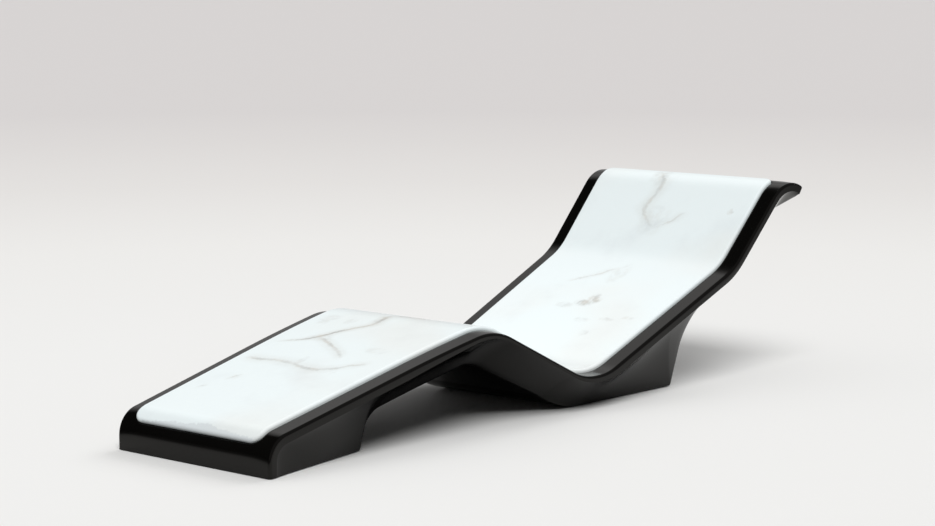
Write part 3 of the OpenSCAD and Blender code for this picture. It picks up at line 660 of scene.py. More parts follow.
def under_section(station, hollow):
    """One closed section across the lower moulding; only a hollow one has an inside."""
    s, foot, inset = station
    roll = edge_roll(s, foot)
    place = rim_place(s)
    rim = below(place, rim_strip(s))
    w = half_width(place[0]) - STRIP_DRAFT - tip(s) / 2
    w_foot = half_width(foot[0]) - inset
    end = inner_foot(foot) if hollow else rim
    cavity = (rim[1] - end[1]) / (rim[1] - foot[1]) if hollow else 0.0
    run = math.dist(rim, foot[:2])
    shares = [i / FLANK_STEPS * (1 - roll / run) for i in range(FLANK_STEPS + 1)]
    outer = []
    for t in shares:
        down, across = flank_in(t, FLANK_DEPTH), flank_in(t, FLANK_SIDE)
        y = mix(w, w_foot, across)
        outer.append((mix(rim[0], foot[0], down), y, mix(rim[1], foot[1], down)))
    edge, tucked = (foot[0], w_foot, foot[1]), (foot[0], w_foot - roll, foot[1])
    turn = list(zip(outer[-1], edge, tucked))
    for u in [i / ROLL_STEPS for i in range(1, ROLL_STEPS + 1)]:
        outer.append(tuple(mix(mix(a, b, u), mix(b, c, u), u) for a, b, c in turn))
    inner = []
    for t in (0.0, 0.2, 0.4, 0.6, 0.8):
        down = min(cavity, flank_in(t, FLANK_DEPTH))
        y = mix(w, w_foot, flank_in(t, FLANK_SIDE)) - WALL_T - t * UNDER_R
        inner.append((mix(rim[0], foot[0], down), y, mix(rim[1], foot[1], down)))
    inner.append((end[0], w_foot - WALL_T - UNDER_R, end[1]))
    ring = [in_frame(*point) for point in outer[::-1] + inner]
    return ring + mirrored(ring)


HOLLOW_FROM = 2
hollow = range(HOLLOW_FROM, len(stations) - 1 - TIP_STEPS)
sections = [under_section(station, i in hollow) for i, station in enumerate(stations)]
lower = lofted("lower_moulding", sections)

# Seats for the two base plates, cut through the floor of the moulding inside their flanges.
PLATE_Z = 0.0043
PLATE_T = 0.005
FLANGE_W = 0.022
SEAT_GAP = 0.0003
FOOT_PLATE = (0.110, FOOT_LEN - 0.063)
PEDESTAL_PLATE = (pedestal_x + 0.075, rear_x - 0.040)
PLATES = [FOOT_PLATE, PEDESTAL_PLATE]
PAST = 0.001


def plate_prism(plate, inset, low, high):
    """An upright block with the outline of a base plate drawn in by inset."""
    corners = []
    for x, way in ((plate[0], 1), (plate[1], -1)):
        half = floor_half(x) - FLANGE_W - inset
        corners += [(x + way * inset, -way * half), (x + way * inset, way * half)]
    return [[in_frame(x, y, z) for x, y in corners] for z in (low, high)]


def cut_away(piece, rings):
    """Takes the closed form between rings out of the piece."""
    cutter = lofted("cutter", rings)
    cut = piece.modifiers.new("cut", "BOOLEAN")
    cut.operation, cut.object, cut.solver = "DIFFERENCE", cutter, "EXACT"
    bpy.context.view_layer.update()
    solved = piece.evaluated_get(bpy.context.evaluated_depsgraph_get())
    mesh = bpy.data.meshes.new_from_object(solved)
    piece.modifiers.clear()
    piece.data = mesh
    bpy.data.objects.remove(cutter)


for plate in PLATES:
    cut_away(lower, plate_prism(plate, 0.0, -PAST, PLATE_Z + PLATE_T + SEAT_GAP))
    cut_away(lower, plate_prism(plate, FLANGE_W, PLATE_Z, FLOOR_T + PAST))
lower.data.shade_smooth()
lower.data.set_sharp_from_angle(angle=CREASE)
dress(lower, "body", "body", BLACK, "under_shell")


# Stone slab
# One long slab of white marble, sawn from one block to the body's curve and polished, with grey
# and beige veins. Its edges are rounded by hand all round, and it lies in a bed of adhesive.
SLAB_PROUD = 0.012
SLAB_T = 0.020
SLAB_EDGE_R = 0.008
EASE = 0.0015
CLEAR = 0.002
sides_from = SLAB_START + SLAB_FOOT_R + CLEAR
sides_to = SLAB_END - SLAB_HEAD_R - CLEAR
slab_distances = [s for s in rim_distances if sides_from < s < sides_to]


def side_of(s, inset):
    """Half the slab's width at a distance along the rim, drawn in by inset."""
    return half_width(rim_place(s)[0]) - BAND_W - SEAL_W - inset


def outline(inset):
    """Half of the slab's outline drawn in by inset, from its foot end to its head end."""
    points = []
    for end, radius, way in ((SLAB_START, SLAB_FOOT_R, 1), (SLAB_END, SLAB_HEAD_R, -1)):
        centre = end + way * radius
        turn = []
        for t in arc(CORNER_STEPS):
            s = centre - way * (radius - inset) * math.cos(t)
            turn.append((s, side_of(s, 0) - radius + (radius - inset) * math.sin(t)))
        if way > 0:
            points += turn + [(s, side_of(s, inset)) for s in slab_distances]
        else:
            points += list(reversed(turn))
    return points


def outline_ring(inset, depth):
    """The slab's outline in place at a depth, and the same points laid flat."""
    half = outline(inset)
    right = [at(rim_place(s), depth, y) for s, y in half]
    left = [at(rim_place(s), depth, -y) for s, y in reversed(half)]
    return right + left, half + [(s, -y) for s, y in reversed(half)]


def bridged(rings):
    """Faces between closed rings, then across the first and last ring from side to side."""
    count = len(rings[0])
    faces = join_rings(rings)
    for base in (0, (len(rings) - 1) * count):
        for i in range(count // 2 - 1):
            faces.append((base + i, base + i + 1, base + count - 2 - i, base + count - 1 - i))
    return faces


slab_layers = [(EASE, SLAB_T - SLAB_PROUD), (0.0, SLAB_T - SLAB_PROUD - EASE)]
slab_layers += [
    (SLAB_EDGE_R * (1 - math.cos(t)), -SLAB_PROUD + SLAB_EDGE_R * (1 - math.sin(t)))
    for t in arc(EDGE_STEPS)
]
slab_layers.append((SLAB_EDGE_R + EASE, -SLAB_PROUD))
slab_layers.append((SLAB_EDGE_R + 8 * EASE, -SLAB_PROUD))
slab_rings = [outline_ring(inset, depth) for inset, depth in slab_layers]
placed_rings = [ring for ring, _ in slab_rings]
slab = made("stone_slab", placed_rings, bridged(placed_rings))
lie = slab.data.attributes.new("lie", "FLOAT_VECTOR", "POINT")
flat_places = [(s - SLAB_START, y, 0.0) for _, flat in slab_rings for s, y in flat]
lie.data.foreach_set("vector", [v for place in flat_places for v in place])

STONE_WHITE = (0.865, 0.94, 0.95, 1)
STONE_GREY = (0.70, 0.75, 0.77, 1)
STONE_WARM = (0.85, 0.86, 0.83, 1)
VEIN_GREY = (0.34, 0.34, 0.33, 1)
VEIN_BEIGE = (0.52, 0.47, 0.40, 1)

# Veins as rows of (distance from the foot end, distance towards the left side), in metres, with
# the axis each one runs along, its width and its strength.
ALONG, ACROSS = 0, 1
VEINS = [
    (ALONG, 0.0100, 1.00, [
        (0.472, 0.202), (0.496, 0.162), (0.522, 0.120), (0.558, 0.095), (0.584, 0.081), (0.606, 0.064),
        (0.629, 0.049), (0.664, 0.026), (0.688, 0.027), (0.719, 0.032), (0.738, 0.034),
    ]),
    (ACROSS, 0.0085, 0.72, [(0.748, -0.077), (0.750, -0.039), (0.747, 0.001), (0.742, 0.036)]),
    (ACROSS, 0.0100, 0.70, [
        (0.437, -0.075), (0.466, -0.035), (0.498, 0.018), (0.514, 0.045), (0.530, 0.078),
        (0.534, 0.097),
    ]),
    (ACROSS, 0.0110, 0.62, [
        (0.432, -0.177), (0.417, -0.147), (0.403, -0.125), (0.384, -0.107), (0.369, -0.076),
        (0.358, -0.042), (0.364, 0.000), (0.374, 0.037), (0.378, 0.069), (0.375, 0.112), (0.371, 0.155),
        (0.372, 0.199),
    ]),
    (ACROSS, 0.0080, 0.60, [(0.386, -0.131), (0.366, -0.123), (0.344, -0.109)]),
    (ALONG, 0.0070, 0.50, [(0.229, 0.133), (0.250, 0.120), (0.284, 0.109)]),
    (ACROSS, 0.0070, 0.62, [(0.192, 0.137), (0.181, 0.161), (0.169, 0.173)]),
    (ALONG, 0.0090, 0.42, [
        (1.621, 0.131), (1.657, 0.086), (1.680, 0.053), (1.715, 0.023), (1.734, 0.006),
    ]),
    (ALONG, 0.0120, 0.56, [
        (1.906, -0.001), (1.931, 0.032), (1.955, 0.055), (1.975, 0.065), (2.002, 0.060), (2.040, 0.050),
        (2.078, 0.050), (2.094, 0.066), (2.129, 0.089),
    ]),
    (ALONG, 0.0100, 0.42, [
        (1.906, -0.001), (1.922, -0.032), (1.939, -0.053), (1.962, -0.071), (1.981, -0.089),
    ]),
]
VEIN_END = 0.03
HALO_WIDTHS = 3.5
HALO_SHARE = 0.26
VEIN_SHARE = 0.75
# Soft stains: (distance, towards the left, half length, half width, strength).
STAINS = [
    (1.528, -0.008, 0.016, 0.026, 1.0),
    (1.548, -0.030, 0.016, 0.018, 1.0),
    (1.551, -0.022, 0.026, 0.015, 0.85),
    (1.506, 0.045, 0.012, 0.026, 0.34),
    (1.696, -0.010, 0.045, 0.022, 0.26),
    (1.443, -0.062, 0.010, 0.022, 0.36),
    (1.458, -0.135, 0.008, 0.020, 0.36),
    (1.476, -0.195, 0.008, 0.016, 0.38),
    (1.381, -0.113, 0.012, 0.012, 0.34),
    (0.654, 0.180, 0.030, 0.022, 0.34),
    (0.660, 0.106, 0.020, 0.014, 0.26),
    (0.705, 0.030, 0.034, 0.015, 0.46),
    (0.536, 0.092, 0.022, 0.030, 0.40),
    (0.507, -0.122, 0.016, 0.030, 0.26),
    (0.392, 0.025, 0.026, 0.010, 0.30),
    (1.986, -0.229, 0.009, 0.008, 0.95),
    (2.100, 0.074, 0.034, 0.026, 0.34),
    (1.936, 0.010, 0.050, 0.040, 0.22),
]
STAIN_SHARE = 0.62
# The cloud that shows on the edge over the nose: (towards the left, how far up it reaches).
EDGE_CLOUD = [
    (-0.22, 0.003), (-0.155, 0.010), (-0.10, 0.013), (-0.063, 0.016), (-0.03, 0.022), (0.0, 0.016),
    (0.09, 0.010), (0.16, 0.003),
]


def marble():
    """White stone: pale clouds, then each vein and stain where the block shows it."""
    stone = Finish("white marble", Roughness=0.2, IOR=1.5)
    lying = stone.node("Attribute", attribute_name="lie").outputs["Vector"]

    def stirred(place, scale, detail, reach):
        """The place moved a little to the side, so that a vein wanders or frays."""
        sockets = {"Vector": lying, "Scale": scale, "Detail": detail}
        swirl = stone.node("TexNoise", sockets).outputs["Color"]
        step = stone.vector("SUBTRACT", swirl, (0.5, 0.5, 0.5))
        return stone.vector("ADD", place, stone.scaled(step, reach))

    wandered = stirred(lying, 26.0, 3.0, 0.011)
    place = stone.split(stirred(wandered, 95.0, 2.0, 0.012))

    def curve_over(value, marks):
        """Smooth height over value through the marks."""
        first, last = marks[0][0], marks[-1][0]
        low, high = min(v for _, v in marks), max(v for _, v in marks)
        line = stone.node("FloatCurve", {"Value": stone.range(value, first, last, 0, 1)})
        spots = line.mapping.curves[0].points
        shares = [((u - first) / (last - first), (v - low) / (high - low)) for u, v in marks]
        spots[0].location, spots[1].location = shares[0], shares[-1]
        for share in shares[1:-1]:
            spots.new(*share)
        line.mapping.update()
        sockets = {0: line.outputs[0], 1: high - low, 2: low}
        return stone.node("Math", sockets, operation="MULTIPLY_ADD").outputs[0]

    patchy = stone.range(stone.noise(16.0, 3.0, lying), 0.38, 0.60, 0.32, 1.0)
    streak = 0.0
    glow = 0.0
    for run, width, strength, points in VEINS:
        marks = sorted((q[run], q[1 - run]) for q in points)
        first, last = marks[0][0], marks[-1][0]
        off = stone.apart(place[1 - run], curve_over(place[run], marks))
        middle, half = (first + last) / 2, (last - first) / 2
        from_middle = stone.apart(place[run], middle)
        inside = stone.range(from_middle, half - VEIN_END, half, strength, 0.0, True)
        core = stone.times(stone.range(off, 0.0, width, 1.0, 0.0, True), inside)
        near = stone.range(off, 0.0, HALO_WIDTHS * width, 1.0, 0.0, True)
        halo = stone.times(near, inside)
        streak = stone.math("MAXIMUM", streak, core)
        glow = stone.math("MAXIMUM", glow, halo)
    spots = 0.0
    for s_mid, y_mid, half_s, half_y, strength in STAINS:
        u = stone.math("DIVIDE", stone.math("SUBTRACT", place[0], s_mid), half_s)
        v = stone.math("DIVIDE", stone.math("SUBTRACT", place[1], y_mid), half_y)
        away = stone.math("ADD", stone.math("POWER", u, 2.0), stone.math("POWER", v, 2.0))
        spots = stone.math("MAXIMUM", spots, stone.range(away, 0.0, 2.2, strength, 0.0, True))
    mottle = stone.range(stone.noise(42.0, 4.0, lying, 0.55), 0.38, 0.60, 0.25, 1.0, True)
    spots = stone.times(spots, mottle)
    short_of = stone.math("SUBTRACT", curve_over(place[1], EDGE_CLOUD), place[0])
    edge = stone.range(short_of, -0.003, 0.002, 0.0, 0.75, True)

    cloud = stone.noise(4.5, 5.0, lying, 0.6)
    base = stone.blend(stone.range(cloud, 0.50, 0.80, 0.0, 0.40, True), STONE_WHITE, STONE_GREY)
    warmth = stone.noise(2.3, 2.0, lying)
    base = stone.blend(stone.range(warmth, 0.48, 0.72, 0.0, 0.5, True), base, STONE_WARM)
    base = stone.blend(edge, base, STONE_GREY)
    base = stone.blend(stone.times(glow, HALO_SHARE), base, VEIN_BEIGE)
    greyed = stone.range(stone.noise(30.0, 2.0, lying), 0.4, 0.6, 0.0, 1.0)
    tone = stone.blend(greyed, VEIN_BEIGE, VEIN_GREY)
    base = stone.blend(stone.times(spots, STAIN_SHARE), base, tone)
    streak = stone.times(streak, patchy)
    base = stone.blend(stone.times(streak, VEIN_SHARE), base, tone)
    rough = stone.over(stone.noise(60.0, 3.0, lying), 0.16, 0.24)
    polish = stone.bump(stone.noise(9.0, 1.0, lying), 0.0006, 0.25)
    stone.set(Base_Color=base, Roughness=rough, Normal=polish)
    return stone.material


dress(slab, "body", "marble", marble(), "marble_slab")


# Joint round the stone
# A thin bead of dark silicone between the slab's side and the recess, a little below both.
SEAL_DEEP = 0.0065
SEAL_EDGE = -0.0012
SEAL_DIP = -0.0006


def silicone():
    bead = Finish("silicone joint", Roughness=0.55)
    bead.set(Base_Color=bead.tinted(bead.noise(300.0), 0.010, 0.022))
    return bead.material


seal_layers = [
    (0.0, SEAL_DEEP),
    (0.0, SEAL_EDGE),
    (-SEAL_W * 0.5, SEAL_DIP),
    (-SEAL_W * 0.98, SEAL_EDGE),
    (-SEAL_W * 0.75, SEAL_DEEP),
]
seal_rings = [outline_ring(inset - SHELL_GAP, depth)[0] for inset, depth in seal_layers]
seal = made("stone_joint", seal_rings, join_rings(seal_rings, closed=True))
dress(seal, "body", "seal", silicone(), "slab_seal")


# Heating mats
# Three silicone mats bonded under the stone for calves, seat and back. Woven glass in the
# silicone shows as a fine weave, and the heating wire stands out in long parallel tracks.
MAT_RED = (0.46, 0.13, 0.045, 1)
MAT_PALE = (0.56, 0.18, 0.07, 1)
TRACK_RED = (0.30, 0.075, 0.03, 1)
WEAVE = 160.0
TRACKS = 26.0


def dress_node(material, *nodes):
    """A CAD part whose shape is right keeps it and gets its real finish."""
    for name in nodes:
        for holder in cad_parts[name].material_slots:
            holder.material = material


def silicone_mat():
    mat = Finish("heating mat", Roughness=0.6)
    weave = mat.math("MAXIMUM", mat.waves(WEAVE, "X"), mat.waves(WEAVE, "Y"))
    track = mat.range(mat.waves(TRACKS, "Y"), 0.70, 0.90, 0.0, 1.0, True)
    tint = mat.tinted(mat.noise(20.0, 4.0), MAT_RED, MAT_PALE)
    tint = mat.blend(mat.times(track, 0.35), tint, TRACK_RED)
    woven = mat.bump(weave, 0.0001, 0.5)
    mat.set(Base_Color=tint, Normal=mat.bump(track, 0.0006, 0.8, woven))
    return mat.material


dress_node(silicone_mat(), "heating_mat_calf", "heating_mat_seat", "heating_mat_back")


# Insulation boards
# Closed-cell foam board cut to the shape of each mat and glued under it, so the heat goes up
# into the stone. The cut faces show their fine cells.
FOAM_DULL = (0.70, 0.62, 0.36, 1)
FOAM_PALE = (0.80, 0.73, 0.48, 1)
FOAM_CELL = (0.52, 0.44, 0.22, 1)


def foam_board():
    foam = Finish("insulation foam", Roughness=0.95)
    cells = foam.cells(700.0)
    tint = foam.tinted(foam.noise(12.0, 4.0), FOAM_DULL, FOAM_PALE)
    tint = foam.blend(foam.range(cells, 0.0, 0.6, 0.35, 0.0), tint, FOAM_CELL)
    foam.set(Base_Color=tint, Normal=foam.bump(cells, 0.0004, 0.7))
    return foam.material


dress_node(foam_board(), "insulation_calf", "insulation_seat", "insulation_back")


# Plywood rails and ribs
# Birch plywood sawn to the body's curve and bonded under the tray: long grain on the faces,
# and the glued plies in light and dark lines along every sawn edge.
PLY = 0.0014
PLIES_AHEAD = 400.0
BIRCH_DARK = (0.50, 0.34, 0.19, 1)
BIRCH = (0.63, 0.46, 0.28, 1)
BIRCH_PALE = (0.70, 0.54, 0.36, 1)
GLUED_DARK = (0.36, 0.23, 0.12, 1)
GLUED_PALE = (0.66, 0.50, 0.31, 1)


def birch_plywood(name, through, grain):
    """Plywood whose plies lie one over another along the axis through, with this grain."""
    ply = Finish(name, Roughness=0.62)
    across = ply.split(ply.place())[through]
    facing = ply.split(ply.node("TexCoord").outputs["Normal"])[through]
    count = ply.math("ADD", ply.math("DIVIDE", across, PLY), PLIES_AHEAD)
    layer = ply.apart(ply.math("MODULO", count, 2.0), 1.0)
    layer = ply.range(layer, 0.42, 0.58, 0.0, 1.0, True)
    figure = ply.noise(1.0, 6.0, ply.stretched(grain), 0.62)
    face = ply.ramp(figure, [(0.30, BIRCH_DARK), (0.52, BIRCH), (0.75, BIRCH_PALE)])
    edge = ply.blend(layer, GLUED_DARK, GLUED_PALE)
    on_face = ply.range(ply.math("ABSOLUTE", facing), 0.6, 0.8, 0.0, 1.0)
    tint = ply.blend(on_face, edge, face)
    height = ply.either(on_face, layer, figure)
    ply.set(Base_Color=tint, Normal=ply.bump(height, 0.0003, 0.6))
    return ply.material


dress_node(birch_plywood("plywood rail", "Y", (9.0, 60.0, 160.0)), "rail_left", "rail_right")
dress_node(
    birch_plywood("plywood rib", "X", (60.0, 9.0, 160.0)),
    "rib_foot_front", "rib_foot_rear", "rib_pedestal_front", "rib_pedestal_rear",
)


# Base plates
# Two sheets of mill-finish aluminium under the foot block and the pedestal, screwed to the
# flanges of the moulding. Rolling lines run along them, with a few scratches.
MILL_DULL = (0.60, 0.61, 0.62, 1)
MILL_PALE = (0.72, 0.73, 0.74, 1)
MILL_BRIGHT = (0.86, 0.86, 0.87, 1)


def rolled_aluminium():
    sheet = Finish("mill aluminium", Metallic=1.0)
    lines = sheet.noise(1.0, 3.0, sheet.stretched((3.0, 900.0, 900.0)))
    cloud = sheet.noise(7.0, 4.0)
    scratch = sheet.noise(1.0, 1.0, sheet.stretched((260.0, 12.0, 12.0)))
    scratch = sheet.range(scratch, 0.70, 0.74, 0.0, 1.0)
    tint = sheet.tinted(cloud, MILL_DULL, MILL_PALE)
    tint = sheet.blend(sheet.times(scratch, 0.4), tint, MILL_BRIGHT)
    rough = sheet.over(lines, 0.30, 0.44)
    rough = sheet.math("ADD", rough, sheet.range(cloud, 0.4, 0.7, 0.0, 0.08))
    sheet.set(Base_Color=tint, Roughness=rough, Normal=sheet.bump(lines, 0.00002, 0.5))
    return sheet.material


dress_node(rolled_aluminium(), "foot_base_plate", "pedestal_base_plate")


# Plate screws
# Stainless pan-head screws with a hexagon socket, six to a plate, driven up into the flange.
SCREW_R = 0.0025
SCREW_HEAD_R = 0.005
SCREW_HEAD_H = 0.0025
HEAD_EDGE = 0.0008
HEAD_ROUND = 0.0012
SCREW_POINT = 0.0008
SOCKET_R = 0.0017
SOCKET_DEEP = 0.0015
SOCKET_EDGE = 0.0002
HEXAGON = 6
DOME_STEPS = 5
ROUND = 24


def reach(sides, angle):
    """How far a regular polygon with corners at 1 reaches at an angle. No sides: a circle."""
    if not sides:
        return 1.0
    part = math.pi / sides
    return math.cos(part) / math.cos(angle % (2 * part) - part)


def turned_rings(profile, x, y, count=ROUND):
    """Rings round an upright axis for a profile of (radius, height) or (radius, height, sides)."""
    rings = []
    for radius, z, *sides in profile:
        turns = [math.tau * i / count for i in range(count)]
        spans = [radius * reach(sides[0] if sides else 0, a) for a in turns]
        rings.append([(x + r * math.cos(a), y + r * math.sin(a), z) for r, a in zip(spans, turns)])
    return rings


def grained(name, cloud, dark, pale, grain, relief, rough=None, **settings):
    """A finish with a cloudy tint and a fine grain in relief; cloud and grain are (scale, detail)."""
    finish = Finish(name, **settings)
    fine = finish.noise(*grain)
    tint = finish.tinted(finish.noise(*cloud), dark, pale)
    finish.set(Base_Color=tint, Normal=finish.bump(fine, *relief))
    if rough:
        finish.set(Roughness=finish.over(fine, *rough))
    return finish.material


STEEL_DULL = (0.52, 0.52, 0.52, 1)
STEEL_PALE = (0.66, 0.66, 0.65, 1)
WEAR = (180.0, 4.0)
STEEL = grained(
    "stainless steel", WEAR, STEEL_DULL, STEEL_PALE, WEAR, (0.00003, 0.4), (0.22, 0.38), Metallic=1.0
)


def pan_screw(x, y, z, top):
    """Rings of a screw whose head hangs below z: socket, head and shank up to top."""
    low = z - SCREW_HEAD_H
    socket = [
        (SOCKET_R * 0.9, low + SOCKET_DEEP, HEXAGON),
        (SOCKET_R, low + SOCKET_EDGE, HEXAGON),
        (SOCKET_R * 1.15, low),
    ]
    edge = z - HEAD_EDGE
    dome = [
        (SCREW_HEAD_R - HEAD_ROUND * (1 - math.cos(a)), edge - (SCREW_HEAD_H - HEAD_EDGE) * math.sin(a))
        for a in reversed(arc(DOME_STEPS))
    ]
    shank = [(SCREW_HEAD_R, z), (SCREW_R, z), (SCREW_R, top - SCREW_POINT), (SCREW_R * 0.6, top)]
    return turned_rings(socket + dome + shank, x, y)


for plate, name in zip(PLATES, ("foot", "pedestal")):
    first, last = plate
    rows = []
    for x in (first + FLANGE_W / 2, (first + last) / 2, last - FLANGE_W / 2):
        share = (x - first) / (last - first)
        y = mix(floor_half(first), floor_half(last), share) - 1.5 * FLANGE_W
        for side in (-1, 1):
            along = x - BODY_LONG / 2
            rows.append(pan_screw(along, side * y, PLATE_Z + FOOT_GAP, FLOOR_T + FOOT_GAP))
    dress(lofted("screws_" + name, *rows), "body", "screw", STEEL, name + "_plate_screws")


# Threaded bushes
# Turned brass bushes pressed into the base plates, one round the stem of each levelling foot.
BRASS_TARNISHED = (0.60, 0.43, 0.16, 1)
BRASS_BRIGHT = (0.78, 0.62, 0.30, 1)


def turned_brass():
    brass = Finish("turned brass", Metallic=1.0)
    tarnish = brass.noise(90.0, 4.0)
    tint = brass.tinted(tarnish, BRASS_TARNISHED, BRASS_BRIGHT)
    rough = brass.over(tarnish, 0.22, 0.36)
    rings = brass.bump(brass.waves(500.0, "Z"), 0.00003, 0.4)
    brass.set(Base_Color=tint, Roughness=rough, Normal=rings)
    return brass.material


dress_node(turned_brass(), "foot_bushes", "pedestal_bushes")


# Levelling feet
# Six moulded pads, each with a round rubber sole and a hexagon for the spanner, on a steel stem
# whose thread winds in its bush, so the lounger stands level on a wet floor.
PAD_R = 0.020
PAD_H = 0.006
PAD_DISC = 0.004
PAD_BEVEL = 0.0006
PAD_ROUND = 48
SPANNER_R = 0.0172
SOLE_H = 0.0018
SOLE_IN = 0.001
STEM_R = 0.005
STEM_TOP = 0.040
STEM_POINT = 0.001
THREAD = 0.0015
THREAD_DEEP = 0.0009
TURN_STEPS = 6
PAD_EDGE = PAD_R + FLANGE_W
PAD_BLACK = (0.045, 0.045, 0.048, 1)
PAD_SCUFFED = (0.085, 0.085, 0.088, 1)
SOLE_PROFILE = [(PAD_R - 2 * SOLE_IN, 0.0), (PAD_R - SOLE_IN, 0.0004), (PAD_R - SOLE_IN, SOLE_H)]
PAD_PROFILE = [
    (PAD_R - 0.0008, SOLE_H),
    (PAD_R, SOLE_H + PAD_BEVEL),
    (PAD_R, PAD_DISC - PAD_BEVEL),
    (PAD_R - PAD_BEVEL, PAD_DISC),
    (SPANNER_R, PAD_DISC + 0.0002, HEXAGON),
    (SPANNER_R, PAD_H - 0.0003, HEXAGON),
    (SPANNER_R - PAD_BEVEL, PAD_H, HEXAGON),
    (STEM_R + 0.001, PAD_H),
]


def moulded_pad():
    pad = Finish("moulded pad", Roughness=0.5)
    scuff = pad.range(pad.noise(60.0, 5.0), 0.55, 0.75, 0.0, 1.0)
    rough = pad.range(scuff, 0.0, 1.0, 0.42, 0.62)
    tint = pad.blend(scuff, PAD_BLACK, PAD_SCUFFED)
    pad.set(Base_Color=tint, Roughness=rough, Normal=pad.bump(pad.noise(900.0, 3.0), 0.00004, 0.5))
    return pad.material


def sole_rubber():
    sole = Finish("rubber sole", Roughness=0.85)
    tint = sole.tinted(sole.noise(200.0, 3.0), 0.018, 0.034)
    sole.set(Base_Color=tint, Normal=sole.bump(sole.cells(420.0), 0.0002, 0.6))
    return sole.material


def threaded_stem(x, y):
    """Rings up the stem whose radius follows one turn of thread round it."""
    rings = []
    tall = STEM_TOP - PAD_H
    steps = round(tall / THREAD * TURN_STEPS)
    for k in range(steps + 1):
        z = PAD_H + tall * k / steps
        left = STEM_TOP - z
        deep = THREAD_DEEP * min(1.0, left / THREAD * 0.5 + 0.5)
        ring = []
        for i in range(ROUND):
            a = math.tau * i / ROUND
            phase = (z / THREAD - a / math.tau) % 1.0
            r = STEM_R - deep * abs(2 * phase - 1) - max(0.0, STEM_POINT - left)
            ring.append((x + r * math.cos(a), y + r * math.sin(a), z))
        rings.append(ring)
    return rings


PAD_FINISH, SOLE_FINISH = moulded_pad(), sole_rubber()
foot_mid, foot_last = PLATES[1][0] + PAD_EDGE, PLATES[1][1] - PAD_EDGE
foot_first = mix(*PLATES[0], 1 / 3)
for place_name, x in (("front", foot_first), ("mid", foot_mid), ("rear", foot_last)):
    for side_name, side in (("left", 1), ("right", -1)):
        name = place_name + "_" + side_name
        node = "foot_" + name
        along, y = x - BODY_LONG / 2, side * (floor_half(x) - FLANGE_W - PAD_EDGE)
        sole = lofted("sole_" + name, turned_rings(SOLE_PROFILE, along, y, PAD_ROUND))
        dress(sole, node, "foot", SOLE_FINISH)
        pad = lofted("pad_" + name, turned_rings(PAD_PROFILE, along, y, PAD_ROUND))
        dress(pad, node, "foot", PAD_FINISH, node)
        dress(lofted("stem_" + name, threaded_stem(along, y)), node, "screw", STEEL)


# Control box and its lid
# A grey moulded enclosure on the pedestal's plate holds the mains gear for the mats. Its lid is
# held by four small screws; the moulding has a fine spark-eroded texture.
CASE_GREY = (0.54, 0.55, 0.57, 1)
CASE_PALE = (0.62, 0.63, 0.65, 1)
ENCLOSURE = grained(
    "enclosure", (9.0, 3.0), CASE_GREY, CASE_PALE, (1500.0, 3.0), (0.00005, 0.6), (0.42, 0.58),
    Roughness=0.5,
)

dress_node(ENCLOSURE, "control_box", "control_box_lid")
dress_node(STEEL, "control_box_screws", "slab_sensor")


# Transformer
# A potted low-voltage transformer in the box: a resin-filled case with a rounded rim, a sunken
# resin face and four soldered pins.
CASE_R = 0.003
CASE_EDGE = 0.001
CASE_WALL = 0.0025
POTTING_IN = 0.003
POTTING_DEEP = 0.0015
PIN_R = 0.0008
PIN_H = 0.002
PIN_ALONG = 0.020
PIN_ACROSS = 0.025
PIN_ROUND = 12
RESIN_DARK = (0.022, 0.023, 0.028, 1)
RESIN_PALE = (0.045, 0.046, 0.052, 1)
POTTED = grained(
    "potted case", (30.0, 4.0), RESIN_DARK, RESIN_PALE, (240.0, 5.0), (0.00008, 0.5), (0.28, 0.5),
    Roughness=0.4,
)


def rounded_block(low, high, radius, layers):
    """Rings of a block with rounded upright edges; layers are (drawn in, height)."""
    rings = []
    for inset, z in layers:
        ring = []
        r = max(radius - inset, HAIR)
        for qx, qy, start in ((1, 1, 0), (-1, 1, 90), (-1, -1, 180), (1, -1, 270)):
            x = (high.x if qx > 0 else low.x) - qx * (inset + r)
            y = (high.y if qy > 0 else low.y) - qy * (inset + r)
            ring += [(x + r * math.cos(a), y + r * math.sin(a), z) for a in arc(5, start, start + 90)]
        rings.append(ring)
    return rings


low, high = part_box("transformer")
rim = high.z - PIN_H
layers = [
    (CASE_EDGE, low.z),
    (0.0, low.z + CASE_EDGE),
    (0.0, rim - CASE_EDGE),
    (CASE_EDGE, rim),
    (CASE_WALL, rim),
    (POTTING_IN, rim - POTTING_DEEP),
]
transformer = lofted("transformer_case", rounded_block(low, high, CASE_R, layers))
dress(transformer, "body", "transformer", POTTED, "transformer")
pin = [
    (2 * PIN_R, rim - POTTING_DEEP),
    (1.5 * PIN_R, rim - 0.0004),
    (PIN_R, rim),
    (PIN_R, high.z - 0.0003),
    (PIN_R / 2, high.z),
]
middle_x, middle_y = (low.x + high.x) / 2, (low.y + high.y) / 2
pins = [
    turned_rings(pin, middle_x + way * PIN_ALONG, middle_y + side * PIN_ACROSS, PIN_ROUND)
    for way in (-1, 1)
    for side in (-1, 1)
]
dress(lofted("transformer_pins", *pins), "body", "screw", STEEL)


# Controller board
# A green circuit board with copper tracks under the lacquer, and its relay, capacitors and
# chips soldered on.
BOARD_T = 0.0016
BOARD_R = 0.002
CHIP_R = 0.0004
CHIP_EDGE = 0.0002
LACQUER_DARK = (0.012, 0.115, 0.045, 1)
LACQUER_PALE = (0.020, 0.150, 0.062, 1)
TRACK_GREEN = (0.045, 0.235, 0.095, 1)
CHIP_DARK = (0.016, 0.016, 0.017, 1)
CHIP_PALE = (0.030, 0.030, 0.032, 1)
CHIP_GRAIN = (2200.0, 2.0)
